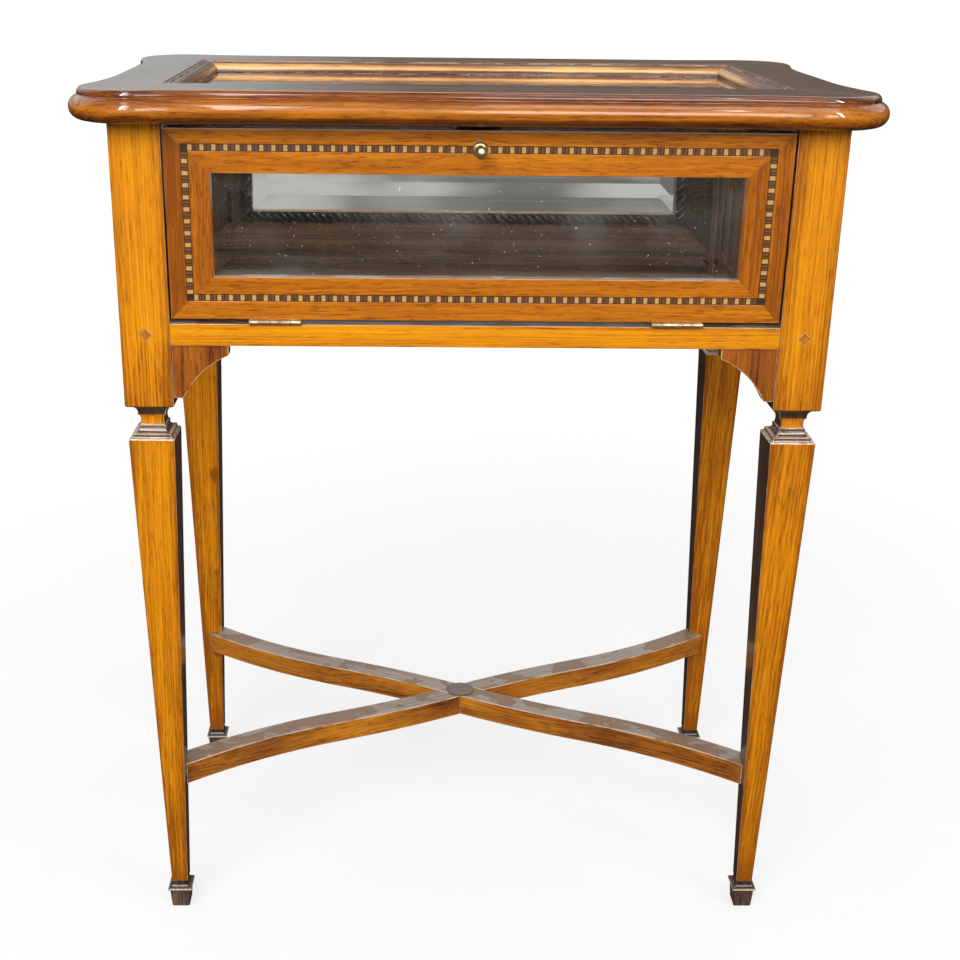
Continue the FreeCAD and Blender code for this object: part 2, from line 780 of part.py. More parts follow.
# The three fixed glazed sides
stile = door_stile + door_side_gap
fixed_widths = (door_rail + door_bottom_gap, stile, door_rail + door_top_gap, stile)
rope_beads = []
for side, half_u in (("back", sight_half_x), ("left", sight_half_y), ("right", sight_half_y)):
    ring = mitred_ring(half_u, sight_half_height, fixed_widths, frame_section)
    for member, piece in zip(MEMBERS, ring):
        save(f"{side}_{member}", stood_up(piece, side))
    save(f"{side}_glass", stood_up(bevelled_glass(half_u, sight_half_height), side))
    beads = mitred_ring(half_u, sight_half_height, [rope_bead_width] * 4, rope_bead_section)
    rope_beads += [stood_up(bead, side) for bead in beads]
save("rope_beads", group(rope_beads))

# The door, with its inlay, knob and the keeper of its catch
inlay = mitred_ring(inlay_half_x, inlay_half_height, [inlay_width] * 4, inlay_section)
inlay = [stood_up(strip.translated(V(0, inlay_middle_z - sight_middle_z, 0)), "front") for strip in inlay]
keeper = Part.makeCylinder(keeper_radius, keeper_thickness, V(0, door_back_y, catch_z), -ABOUT_Y)
let_in = inlay + door_screws + [keeper, knob()]
ring = mitred_ring(sight_half_x, sight_half_height, (door_rail, door_stile) * 2, frame_section)
for member, piece in zip(MEMBERS, ring):
    save(f"door_{member}", main_solid(stood_up(piece, "front").cut(let_in)))
save("door_inlay", group([strip.cut(knob()) for strip in inlay]))
save("door_glass", stood_up(bevelled_glass(sight_half_x, sight_half_height), "front"))
beads = mitred_ring(sight_half_x, sight_half_height, [frame_rebate] * 4, door_bead_section)
save("door_beads", group([stood_up(bead, "front") for bead in beads]))
save("knob", knob())
save("knob_plate", knob_plate())
save("catch_keeper", keeper)

# The block that the door closes against, with the magnet of the catch
magnet = Part.makeCylinder(magnet_radius, magnet_length, V(0, stop_face_y, catch_z), ABOUT_Y)
stop = box(-stop_width / 2, stop_width / 2, stop_face_y, stop_face_y + stop_thickness, stop_bottom_z, leg_height)
save("catch_magnet", magnet)
save("door_stop", stop.cut(magnet))

# The top
for side, member in top_members().items():
    save(f"top_{side}", main_solid(member.cut(legs)))
save("top_glass", top_glass())
bead_x = top_opening_x - top_bead_width
bead_y = top_opening_y - top_bead_width
save("top_beads", group(mitred_ring(bead_x, bead_y, [top_bead_width] * 4, top_bead_section)))

# The stretchers
for name, stretcher in zip(("lower", "upper"), stretchers(legs)):
    save(f"stretcher_{name}", stretcher)
save("stretcher_button", stretcher_button())
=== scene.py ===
# %% [markdown]
# # A glazed display table
# This is a shallow glass case on four tapered legs, made to show small things to people who look down
# through the top or in through the front. The measured solids come first, because they say where every
# board, pane and hinge is. Blender then dresses each one: it eases the sharp edges, lays the grain along
# each board, turns the small metalwork, twists the rope mouldings, and gives every surface its finish.

# %% Load the measured table
import json
import math
import random

import bmesh
import bpy
from mathutils import Matrix, Vector


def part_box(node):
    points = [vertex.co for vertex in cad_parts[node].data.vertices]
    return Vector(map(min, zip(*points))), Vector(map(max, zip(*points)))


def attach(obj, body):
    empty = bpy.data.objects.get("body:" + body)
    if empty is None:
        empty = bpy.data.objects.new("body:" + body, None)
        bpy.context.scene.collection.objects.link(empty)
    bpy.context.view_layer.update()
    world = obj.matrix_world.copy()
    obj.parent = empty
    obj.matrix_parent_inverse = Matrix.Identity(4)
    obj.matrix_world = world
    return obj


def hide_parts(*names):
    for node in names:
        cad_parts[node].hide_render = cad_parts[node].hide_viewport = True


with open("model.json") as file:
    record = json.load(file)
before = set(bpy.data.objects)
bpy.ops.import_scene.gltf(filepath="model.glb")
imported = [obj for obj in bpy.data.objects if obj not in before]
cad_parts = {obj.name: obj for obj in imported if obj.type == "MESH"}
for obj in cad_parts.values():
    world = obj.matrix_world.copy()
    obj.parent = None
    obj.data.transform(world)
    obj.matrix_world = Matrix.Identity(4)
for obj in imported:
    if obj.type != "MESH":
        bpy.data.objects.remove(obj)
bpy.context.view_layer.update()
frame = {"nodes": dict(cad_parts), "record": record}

MM = 0.001
nodes = frame["nodes"]
bodies = frame["record"]["behaviour"]["bodies"]
body_of = {node: body for body, members in bodies.items() for node in members}

# %% [markdown]
# ## The camera
# The table is seen from standing height, a little left of its middle, looking down by twenty degrees.
# Three turns give the direction that the camera looks in, and the lens comes from the angle of view.
# The small shift moves the table in the picture without turning the camera.

# %% Camera
IMAGE_PIXELS = 960
FOCAL_PIXELS = 1427.0
MIDDLE_PIXELS = (430.6, 464.6)
SENSOR = 36.0
CAMERA_PLACE = Vector((-57.1, -1301.3, 878.2)) * MM
CAMERA_YAW, CAMERA_PITCH, CAMERA_ROLL = 0.01830, 0.35073, -0.01187

forward = Vector((math.sin(CAMERA_YAW) * math.cos(CAMERA_PITCH),
                  math.cos(CAMERA_YAW) * math.cos(CAMERA_PITCH), -math.sin(CAMERA_PITCH)))
level = Vector((math.cos(CAMERA_YAW), -math.sin(CAMERA_YAW), 0))
up = level.cross(forward)
across_picture = level * math.cos(CAMERA_ROLL) - up * math.sin(CAMERA_ROLL)
up_picture = level * math.sin(CAMERA_ROLL) + up * math.cos(CAMERA_ROLL)


def put_in_scene(name, data):
    thing = bpy.data.objects.new(name, data)
    bpy.context.scene.collection.objects.link(thing)
    return thing


camera = put_in_scene("camera", bpy.data.cameras.new("camera"))
turned = Matrix((across_picture, up_picture, -forward)).transposed()
camera.matrix_world = Matrix.Translation(CAMERA_PLACE) @ turned.to_4x4()
camera.data.sensor_width = SENSOR
camera.data.lens = FOCAL_PIXELS / IMAGE_PIXELS * SENSOR
camera.data.shift_x = 0.5 - MIDDLE_PIXELS[0] / IMAGE_PIXELS
camera.data.shift_y = MIDDLE_PIXELS[1] / IMAGE_PIXELS - 0.5
bpy.context.scene.camera = camera
bpy.context.scene.view_settings.view_transform = "Standard"
print(f"lens {camera.data.lens:.1f} mm, shift {camera.data.shift_x:.4f}, {camera.data.shift_y:.4f}")

# %% [markdown]
# ## Writing materials as sums
# A finish is a recipe of nodes. Long recipes are easier to read as Python sums than as lists of links,
# so one small class holds a socket and turns + - * / and ** into Math nodes. Any other node
# comes from one call that takes its type, its settings, and what goes into its sockets.

# %% Recipes and sockets
MIX_SHARE, MIX_FIRST, MIX_SECOND, MIX_RESULT = 0, 6, 7, 2


class Wire:
    """A node's output that can take part in a sum."""

    def __init__(self, recipe, socket):
        self.recipe = recipe
        self.socket = socket

    def maths(self, operation, other):
        return self.recipe.maths(operation, self, other)

    def __add__(self, other):
        return self.maths("ADD", other)

    def __sub__(self, other):
        return self.maths("SUBTRACT", other)

    def __rsub__(self, other):
        return self.recipe.maths("SUBTRACT", other, self)

    def __mul__(self, other):
        return self.maths("MULTIPLY", other)

    def __truediv__(self, other):
        return self.maths("DIVIDE", other)

    def __rtruediv__(self, other):
        return self.recipe.maths("DIVIDE", other, self)

    def __pow__(self, other):
        return self.maths("POWER", other)

    __radd__ = __add__
    __rmul__ = __mul__


class Recipe:
    """The nodes of one finish, or of the sky."""

    def __init__(self, tree):
        self.tree = tree
        tree.nodes.clear()

    def add(self, kind, settings=None, inputs=None, output=0):
        node = self.tree.nodes.new("ShaderNode" + kind)
        for key, value in (settings or {}).items():
            if key == "stops":
                ramp = node.color_ramp.elements
                while len(ramp) < len(value):
                    ramp.new(1.0)
                for stop, (place, colour) in zip(ramp, value):
                    stop.position = place
                    stop.color = (*colour, 1.0)
            else:
                setattr(node, key, value)
        for key, value in (inputs or {}).items():
            if isinstance(value, Wire):
                self.tree.links.new(value.socket, node.inputs[key])
            else:
                socket = node.inputs[key]
                needs_alpha = socket.type == "RGBA" and len(value) == 3
                socket.default_value = (*value, 1.0) if needs_alpha else value
        return Wire(self, node.outputs[output]) if len(node.outputs) else node

    def maths(self, operation, *values):
        return self.add("Math", {"operation": operation}, dict(enumerate(values)))

    def vector(self, operation, *values, output=0):
        return self.add("VectorMath", {"operation": operation}, dict(enumerate(values)), output)

    def parts(self, vector):
        first = self.add("SeparateXYZ", None, {0: vector})
        return [Wire(self, output) for output in first.socket.node.outputs]

    def noise(self, place, scale, detail=2.0, roughness=0.5, distortion=0.0):
        """Noise from 0 to 1. scale has one number for each axis, in patches per metre."""
        place = self.vector("MULTIPLY", place, scale)
        return self.add("TexNoise", None, {"Vector": place, "Scale": 1.0, "Detail": detail,
                                           "Roughness": roughness, "Distortion": distortion})

    def step(self, value, low, high):
        """0 below low and 1 above high, with a soft rise between them. It falls if low is above high."""
        start, end = (0.0, 1.0) if low < high else (1.0, 0.0)
        return self.add("MapRange", {"interpolation_type": "SMOOTHSTEP"},
                        {0: value, 1: min(low, high), 2: max(low, high), 3: start, 4: end})

    def ramp(self, value, stops):
        return self.add("ValToRGB", {"stops": stops}, {0: value})

    def blend(self, share, first, second):
        """The first colour where share is 0, and the second where it is 1."""
        colours = {MIX_SHARE: share, MIX_FIRST: first, MIX_SECOND: second}
        return self.add("Mix", {"data_type": "RGBA"}, colours, MIX_RESULT)

    def attribute(self, name, output="Vector"):
        return self.add("Attribute", {"attribute_name": name}, None, output)

    def surface(self, inputs):
        """Ends a material that has one plain surface."""
        self.add("OutputMaterial", None, {"Surface": self.add("BsdfPrincipled", None, inputs)})


def finish_named(name):
    material = bpy.data.materials.new(name)
    material.use_nodes = True
    return material, Recipe(material.node_tree)


def even(value):
    """The same number for all three axes, or for all three colours, which makes a grey."""
    return (value, value, value)


print("recipes are ready")

# %% [markdown]
# ## Floor
# The table stands on a plain pale floor that glows a little, so that its shadow stays soft and light.
# It is left out of reflections, so that the varnish shows the dark of a real room and not a white sheet.

# %% Floor
FLOOR_SIZE = 30.0
FLOOR_DARK, FLOOR_PALE = even(0.29), even(0.31)
GLOW_NEAR, GLOW_FAR = even(0.70), even(0.88)
floor_material, floor = finish_named("studio_floor")
place = floor.add("TexCoord", output="Object")
speckle = floor.noise(place, even(40.0))
far = floor.step(floor.vector("LENGTH", place, output="Value"), 0.3, 2.2)
floor.surface({
    "Base Color": floor.blend(speckle, FLOOR_DARK, FLOOR_PALE), "Roughness": 0.9, "Specular IOR Level": 0.0,
    "Emission Color": floor.blend(far, GLOW_NEAR, GLOW_FAR), "Emission Strength": 1.0})

sheet = bmesh.new()
bmesh.ops.create_grid(sheet, x_segments=1, y_segments=1, size=FLOOR_SIZE)
floor_mesh = bpy.data.meshes.new("studio_floor")
sheet.to_mesh(floor_mesh)
sheet.free()
floor_mesh.materials.append(floor_material)
studio_floor = put_in_scene("studio_floor", floor_mesh)
studio_floor.visible_glossy = False
studio_floor.visible_transmission = False
studio_floor.visible_diffuse = False
print("floor is", 2 * FLOOR_SIZE, "m square")

# %% [markdown]
# ## Sky
# French polish is nearly a mirror at low angles, so what it reflects matters as much as the lamps. Behind
# the table the sky is brighter on the left and browner low down on the right. On the viewer's side it is
# darker, and below the horizon it is darkest. Plain light sees an even dome in its place, and light that
# has come through glass sees the blurred shapes of a room.

# %% Sky
BEHIND_RIGHT, BEHIND_LEFT, BEHIND_HIGH = (0.115, 0.100, 0.085), (0.47, 0.52, 0.515), even(1.3)
VIEWER_LOW, VIEWER_HIGH = (0.06, 0.055, 0.05), even(0.24)
OVERHEAD, UNDERFOOT = even(0.25), (0.035, 0.028, 0.022)
DOME_LOW, DOME_HIGH = (0.30, 0.29, 0.28), even(0.56)
ROOM_DARK, ROOM_PALE = (0.17, 0.165, 0.155), (0.60, 0.59, 0.57)
BACKDROP = even(1.0)
world = bpy.data.worlds.new("studio_sky")
bpy.context.scene.world = world
world.use_nodes = True
sky = Recipe(world.node_tree)
direction = sky.add("TexCoord", output="Generated")
east, north, height = sky.parts(direction)
low_behind = sky.blend(sky.step(east, 0.03, -0.17), BEHIND_RIGHT, BEHIND_LEFT)
behind = sky.blend(sky.step(height, 0.16, 0.42), low_behind, BEHIND_HIGH)
in_front = sky.blend(sky.step(height, 0.0, 0.5), VIEWER_LOW, VIEWER_HIGH)
around = sky.blend(sky.step(north, -0.15, 0.15), in_front, behind)
around = sky.blend(sky.step(height, 0.7, 0.95), around, OVERHEAD)
mirrored = sky.blend(sky.step(height, -0.04, 0.02), UNDERFOOT, around)
dome = sky.blend(sky.step(height, -0.3, 0.5), DOME_LOW, DOME_HIGH)
shapes = sky.noise(direction, (5.0, 5.0, 14.0), 3.0)
room = sky.blend(sky.step(shapes, 0.40, 0.60), ROOM_DARK, ROOM_PALE)
beyond_glass = sky.blend(sky.step(height, 0.02, -0.04), mirrored, room)
seen = dome
for ray, colour in (("Glossy", mirrored), ("Transmission", beyond_glass), ("Camera", BACKDROP)):
    seen = sky.blend(sky.add("LightPath", output=f"Is {ray} Ray"), seen, colour)
sky.add("OutputWorld", None, {"Surface": sky.add("Background", None, {"Color": seen, "Strength": 1.0})})
print("sky has", len(world.node_tree.nodes), "nodes")

# %% [markdown]
# ## Lamps
# Two broad softboxes light the wood, and the polish doesn't mirror them. The narrower ones do the
# opposite: they add no plain light, and only show as highlights on the polish, like windows of a room.
# Each row has a lamp's name, its place, what it points at, its width and height in metres, and its power.

# %% Lamps
CASE_MIDDLE = (0, 0, 0.65)
TOP_EDGE = (0, -0.19, 0.757)
BROAD_LAMPS = (("lamp_front", (-0.9, -2.6, 2.2), CASE_MIDDLE, 2.3, 1.6, 74),
               ("lamp_front_right", (2.2, -2.2, 1.7), CASE_MIDDLE, 1.2, 1.4, 24))
MIRRORED_LAMPS = (("window_far_left", (-0.88, -2.50, 2.3), TOP_EDGE, 0.24, 2.0, 50),
                  ("window_left", (-0.58, -2.60, 2.3), TOP_EDGE, 0.30, 2.0, 20),
                  ("window_low", (0.50, -3.04, 1.72), TOP_EDGE, 0.83, 1.10, 20),
                  ("window_right", (1.14, -2.50, 2.3), TOP_EDGE, 0.24, 2.0, 55),
                  ("lamp_overhead", (0.47, -0.80, 2.75), (0.47, -0.80, 0), 0.75, 1.5, 9),
                  ("lamp_overhead_left", (-0.62, -0.80, 2.75), (-0.62, -0.80, 0), 0.25, 1.1, 4))


def softbox(name, place, aim, width, height, power):
    lamp = bpy.data.lights.new(name, "AREA")
    lamp.shape = "RECTANGLE"
    lamp.size = width
    lamp.size_y = height
    lamp.energy = power
    holder = put_in_scene(name, lamp)
    holder.rotation_mode = "QUATERNION"
    holder.rotation_quaternion = (Vector(aim) - Vector(place)).to_track_quat("-Z", "Y")
    holder.location = place
    return holder


for row in BROAD_LAMPS:
    softbox(*row).visible_glossy = False
for row in MIRRORED_LAMPS:
    softbox(*row).visible_diffuse = False
print(len(BROAD_LAMPS) + len(MIRRORED_LAMPS), "softboxes")

# %% [markdown]
# ## Wood
# Every board here is stained and French polished. What the eye reads as wood is built up in layers:
# growth rings round the middle of the tree, cut by the faces of the board, fine fibres and short
# dark pores along the grain, slow changes of tone, faces that darken towards their edges, and eased
# edges painted pale, partly as worn polish and partly as the highlight of a rounded edge. Each board
# carries its own position as an attribute, in metres along, across and through the board, so that the
# grain runs the right way however the board lies.

# %% Wood finish
HEART_ASIDE, HEART_BELOW = 60 * MM, 85 * MM
KNOT_STRETCH = (1.0, 0.2, 0.6)
FLAKE_COLOUR, DUST_COLOUR = (0.22, 0.115, 0.052), (0.42, 0.38, 0.33)
GLOSS, VARNISH_IOR = 0.12, 1.5
GRAIN_RELIEF = 0.22 * MM


def wood(name, pale, middle, deep, rings=0.2, ring_pitch=3.0, streaks=0.5, dashes=0.3, patches=0.35,
         sway=2.0, edge_darkening=0.3, edge_wear_and_highlight=0.4, wear_and_highlight_colour=(0.75, 0.42, 0.16), polish=0.8, bare_patches=0.0,
         roughness=0.42, polish_roughness=0.12, dust=0.0, knots=(), flakes=0.0, relief=0.3):
    """A finish with three shades. Most of the other values say how strong one layer is, from 0 to 1;
    ring_pitch and sway are in millimetres, and knots holds pairs of a place and a radius."""
    material, mix = finish_named(name)
    board = mix.attribute("grain")
    wander = mix.noise(board, (5.0, 26.0, 26.0), 3.0) - 0.5
    ripple = mix.noise(board, (34.0, 90.0, 90.0), 1.0) - 0.5
    shift = wander * (2 * sway * MM) + ripple * (0.35 * sway * MM)
    grain = mix.vector("ADD", board, mix.add("CombineXYZ", None, {1: shift, 2: shift}))
    across, through = mix.parts(grain)[1:]

    from_heart = mix.maths("SQRT", (across + HEART_ASIDE) ** 2.0 + (through + HEART_BELOW) ** 2.0)
    ring = from_heart / (ring_pitch * MM) + mix.noise(grain, (0.6, 75.0, 75.0), 2.0) * 3.5
    ring = mix.maths("FRACT", ring)
    late = mix.step(ring, 0.15, 0.86) * mix.step(ring, 1.0, 0.90)
    fine = mix.noise(grain, (9.0, 620.0, 620.0), 3.0, 0.7)
    broad = mix.noise(grain, (2.5, 150.0, 150.0), 2.0, 0.55)
    dash = mix.step(mix.noise(grain, (64.0, 640.0, 640.0), 2.0, 0.6), 0.52, 0.68)
    patch = mix.noise(grain, (7.0, 22.0, 22.0), 3.0, 0.6)
    pore = mix.step(mix.noise(grain, (70.0, 1500.0, 1500.0), 1.0), 0.66, 0.74)

    depth = (late - 0.35) * rings + (fine - 0.5) * (1.7 * streaks) + (broad - 0.5) * (1.5 * streaks)
    depth = depth + (dash - 0.3) * dashes + (patch - 0.5) * (1.8 * patches)
    depth = depth + mix.attribute("tone", "Fac") + 0.5
    side, face = mix.parts(mix.attribute("edge"))[:2]
    near_edge = mix.maths("MINIMUM", mix.maths("ABSOLUTE", side), mix.maths("ABSOLUTE", face))
    # Each face darkens towards its edges.
    depth = depth + mix.step(near_edge, 0.55, 1.05) * edge_darkening
    place = mix.add("TexCoord", output="Object")
    for centre, size in knots:
        apart = mix.vector("DISTANCE", mix.vector("MULTIPLY", place, KNOT_STRETCH),
                           mix.vector("MULTIPLY", centre, KNOT_STRETCH), output="Value")
        depth = depth + mix.step(apart + ripple * (0.4 * size), size, 0.25 * size) * 0.75
    colour = mix.ramp(depth, [(0.0, pale), (0.5, middle), (1.0, deep)])
    colour = mix.blend(pore * 0.35, colour, deep)
    flake = mix.step(mix.noise(board, (24.0, 30.0, 30.0), 3.0, 0.55, 0.4), 0.46, 0.50)
    colour = mix.blend(flake * flakes, colour, FLAKE_COLOUR)

    # Eased edges are painted pale: partly worn polish, and partly a painted highlight where a rounded edge
    # catches the light.
    arris = mix.attribute("arris", "Fac")
    wear_and_highlight_noise = mix.noise(board, (30.0, 60.0, 60.0), 3.0, 0.7)
    wear_and_highlight = arris * mix.step(wear_and_highlight_noise, 0.70 - 0.45 * edge_wear_and_highlight, 0.75 - 0.25 * edge_wear_and_highlight) * edge_wear_and_highlight
    colour = mix.blend(wear_and_highlight, colour, wear_and_highlight_colour)
    scuff = mix.step(mix.noise(board, (38.0, 55.0, 55.0), 4.0, 0.7), 0.60, 0.66) * bare_patches
    speck = mix.step(mix.noise(place, even(900.0), 1.0), 0.68, 0.74) * dust
    colour = mix.blend(speck, colour, DUST_COLOUR)

    height = late * 0.2 - pore * 0.8 + fine * 0.35 + wear_and_highlight_noise * arris * 1.5
    bump = mix.add("Bump", None, {"Strength": relief, "Distance": GRAIN_RELIEF, "Height": height})
    mix.surface({
        "Base Color": colour, "Roughness": roughness + (patch - 0.5) * 0.2 + pore * 0.1 + speck * 0.3,
        "Normal": bump, "IOR": VARNISH_IOR, "Specular IOR Level": GLOSS, "Coat Roughness": polish_roughness,
        "Coat Weight": polish * (1 - 0.7 * wear_and_highlight) * (1 - scuff) * (1 - speck), "Coat IOR": VARNISH_IOR})
    return material


LEG_KNOTS = (((-0.261, 0.140, 0.343), 0.0075), ((-0.264, 0.140, 0.228), 0.0045),
             ((-0.268, 0.140, 0.130), 0.0055))
finishes = {
    "golden_wood": wood(
        "golden_wood_polished", (0.98, 0.41, 0.004), (0.76, 0.262, 0.002), (0.33, 0.090, 0.002),
        rings=0.18, ring_pitch=2.0, streaks=0.55, dashes=0.24, patches=0.40, sway=1.6, edge_darkening=0.34,
        knots=LEG_KNOTS),
    "frame_wood": wood(
        "frame_wood_polished", (0.80, 0.29, 0.008), (0.53, 0.155, 0.004), (0.26, 0.064, 0.002),
        rings=0.14, dashes=0.42, sway=5.0, edge_darkening=0.10, edge_wear_and_highlight=0.1, wear_and_highlight_colour=(0.55, 0.30, 0.13)),
    "top_wood": wood(
        "top_wood_polished", (0.56, 0.185, 0.008), (0.28, 0.070, 0.004), (0.080, 0.016, 0.002),
        ring_pitch=5.0, patches=0.6, sway=5.0, edge_wear_and_highlight=0.5, wear_and_highlight_colour=(0.55, 0.33, 0.2), polish=1.0,
        polish_roughness=0.08, relief=0.12, bare_patches=0.35),
    "top_flat": wood(
        "top_flat_polished", (0.30, 0.125, 0.030), (0.16, 0.058, 0.016), (0.060, 0.020, 0.008),
        rings=0.1, ring_pitch=5.0, streaks=0.22, dashes=0.1, patches=0.8, sway=5.0, edge_wear_and_highlight=0.3,
        wear_and_highlight_colour=(0.4, 0.26, 0.17), polish=1.0, relief=0.004),
    "bracket_wood": wood(
        "bracket_wood_polished", (0.58, 0.20, 0.016), (0.33, 0.090, 0.009), (0.11, 0.026, 0.004),
        patches=1.0, edge_wear_and_highlight=0.9, wear_and_highlight_colour=(0.9, 0.62, 0.32)),
    "stretcher_wood": wood(
        "stretcher_wood_polished", (0.66, 0.245, 0.018), (0.37, 0.118, 0.012), (0.11, 0.028, 0.006),
        patches=1.1, edge_wear_and_highlight=0.8, sway=3.0, bare_patches=0.5, wear_and_highlight_colour=(0.80, 0.64, 0.50)),
    # Upper faces: a worn, dusty grey, which also paints in the sheen of the sky on them.
    "worn_tops_and_sheen": wood(
        "tops_worn_and_painted_sheen", (0.44, 0.365, 0.30), (0.32, 0.25, 0.195), (0.17, 0.115, 0.080),
        rings=0.1, dashes=0.2, patches=0.5, edge_wear_and_highlight=0.9, wear_and_highlight_colour=(0.80, 0.72, 0.62),
        polish=0.5, polish_roughness=0.22, roughness=0.45, dust=0.35, flakes=0.85),
    # Painted highlights: small ledges and edges that would catch the light are painted pale.
    "highlight_ledges": wood(
        "ledges_painted_highlight", (0.84, 0.70, 0.54), (0.58, 0.44, 0.31), (0.26, 0.16, 0.10),
        rings=0.1, streaks=0.4, patches=0.9, edge_wear_and_highlight=0.6, wear_and_highlight_colour=(0.95, 0.88, 0.76)),
    # Dark brown that paints shade into the legs' hollows and onto faces turned inwards; the stretchers'
    # button takes it too.
    "dark_stain_and_shade": wood(
        "dark_stain_and_painted_shade", (0.25, 0.125, 0.065), (0.125, 0.060, 0.034), (0.045, 0.020, 0.012),
        rings=0.1, streaks=0.4, patches=0.8, edge_wear_and_highlight=0.9, wear_and_highlight_colour=(0.72, 0.50, 0.34)),
    "bead_wood": wood(
        "beads_polished", (0.80, 0.47, 0.185), (0.30, 0.100, 0.024), (0.06, 0.017, 0.007),
        rings=0.08, streaks=0.28, dashes=0.15, patches=0.8, edge_wear_and_highlight=0.7, wear_and_highlight_colour=(0.7, 0.5, 0.3),
        dust=0.7, polish=0.5, polish_roughness=0.16),
    # The case's dark wood. Faces of the legs, rails and fixed frames that turn inwards take it as painted
    # shade.
    "case_wood": wood(
        "case_wood_stain_and_shade", (0.150, 0.080, 0.040), (0.080, 0.041, 0.021), (0.030, 0.016, 0.009),
        streaks=0.45, patches=0.6, edge_wear_and_highlight=0.2, polish=0.25, roughness=0.6, dust=0.5),
    "foot_wood": wood(
        "foot_wood_stained", (0.22, 0.14, 0.095), (0.115, 0.070, 0.048), (0.035, 0.02, 0.014),
        streaks=0.6, patches=0.9, edge_wear_and_highlight=0.5, wear_and_highlight_colour=(0.34, 0.24, 0.17), polish=0.4),
    "dark_wood": wood(
        "dark_wood_ebonised", (0.050, 0.034, 0.026), (0.022, 0.016, 0.013), (0.008, 0.006, 0.005),
        streaks=0.4, patches=0.6, edge_wear_and_highlight=0.3, wear_and_highlight_colour=(0.2, 0.13, 0.08), polish_roughness=0.2),
}
print(len(finishes), "wood finishes")

# %% [markdown]
# ## Dressing a board
# A sawn solid has knife-sharp edges, but a joiner eases every edge with a stroke of the plane, and years
# of dusting round it further. Each board is a copy of its solid: the loose triangles are merged, flat
# faces are joined up again, and the sharp edges get a small two-step bevel. The new bevel faces are
# marked, so that the finish knows where to paint worn polish and the highlight of a rounded edge.

# %% Dress a board
DOUBLES = 0.002 * MM
FLAT_ANGLE = math.radians(0.2)
SHARP_ANGLE = math.radians(25)
GRAIN_APART, GRAIN_SHIFT = 3.7, 0.02
SLICE_DIGITS, SORT_DIGITS = 4, 5
ALONG_X, ALONG_Y, ALONG_Z = Vector((1, 0, 0)), Vector((0, 1, 0)), Vector((0, 0, 1))
chance = random.Random(5)
boards = 0


def merge(shape):
    """Joins up loose triangles, then the triangles of each flat face."""
    bmesh.ops.remove_doubles(shape, verts=shape.verts, dist=DOUBLES)
    bmesh.ops.dissolve_limit(shape, angle_limit=FLAT_ANGLE, use_dissolve_boundaries=False,
                             verts=shape.verts, edges=shape.edges)


def merged_copy(node):
    shape = bmesh.new()
    shape.from_mesh(nodes[node].data)
    merge(shape)
    return shape


def solid_middle(solid):
    low = Vector([min(v.co[i] for v in solid) for i in range(3)])
    high = Vector([max(v.co[i] for v in solid) for i in range(3)])
    return (low + high) / 2


def islands(shape):
    """The separate solids of a shape, each as a list of its vertices. A dict keeps the order of its keys,
    which a set doesn't, so every run finds them alike."""
    left = dict.fromkeys(shape.verts)
    found = []
    while left:
        solid, queue = [], [left.popitem()[0]]
        while queue:
            vertex = queue.pop()
            solid.append(vertex)
            for edge in vertex.link_edges:
                other = edge.other_vert(vertex)
                if other in left:
                    del left[other]
                    queue.append(other)
        found.append(solid)
    return sorted(found, key=lambda solid: tuple(round(c, SORT_DIGITS) for c in solid_middle(solid)))


def lay_grain(shape, along, through, edges=True, tone=0.06, stain_and_light=None):
    """Writes each vertex's place in its board, along, across and through it, and how dark it is made
    there, which paints in light and shade as well as tone.
    No two boards share a stretch of grain."""
    global boards
    grain = shape.verts.layers.float_vector.new("grain")
    edge = shape.verts.layers.float_vector.new("edge")
    shade = shape.verts.layers.float.new("tone")
    across = through.cross(along)
    for solid in islands(shape):
        boards += 1
        middle = solid_middle(solid)
        start = Vector((GRAIN_APART * boards, chance.uniform(-GRAIN_SHIFT, GRAIN_SHIFT),
                        chance.uniform(-GRAIN_SHIFT, GRAIN_SHIFT)))
        board_tone = chance.uniform(-tone, tone)
        widest = {}
        for vertex in solid:
            place = vertex.co - middle
            at = round(place.dot(along), SLICE_DIGITS)
            a, b = widest.get(at, (0.0, 0.0))
            widest[at] = (max(a, abs(place.dot(across))), max(b, abs(place.dot(through))))
        for vertex in solid:
            place = vertex.co - middle
            local = Vector((place.dot(along), place.dot(across), place.dot(through)))
            a, b = widest[round(local.x, SLICE_DIGITS)]
            vertex[grain] = local + start
            vertex[edge] = Vector((local.y / max(a, MM), local.z / max(b, MM), 0)) if edges else Vector()
            vertex[shade] = board_tone + (stain_and_light(vertex.co) if stain_and_light else 0)


def ease_edges(shape, width, sharper_than=SHARP_ANGLE, segments=2):
    arris = shape.faces.layers.float.new("arris")
    sharp = [e for e in shape.edges if e.is_manifold and e.calc_face_angle(0) > sharper_than]
    made = bmesh.ops.bevel(shape, geom=sharp, offset=width, offset_type="OFFSET", segments=segments,
                           profile=0.5, affect="EDGES", clamp_overlap=False, loop_slide=True, material=-1)
    for face in made["faces"]:
        face[arris] = 1.0


def slot_of(node):
    return nodes[node].data.materials[0].name


def show(shape, name, stands_for, *layers):
    """Turns a shape into a piece that stands for one or more solids and rides with their body."""
    mesh = bpy.data.meshes.new(name)
    shape.to_mesh(mesh)
    shape.free()
    mesh.shade_smooth()
    for finish in layers:
        mesh.materials.append(finish)
    piece = put_in_scene(name, mesh)
    shading = piece.modifiers.new("even_shading", "WEIGHTED_NORMAL")
    shading.keep_sharp = True
    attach(piece, body_of[stands_for[0]])
    slot_of(stands_for[0])
    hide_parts(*stands_for)


def facing(direction, share=0.7):
    return lambda middle, normal: normal.dot(direction) > share


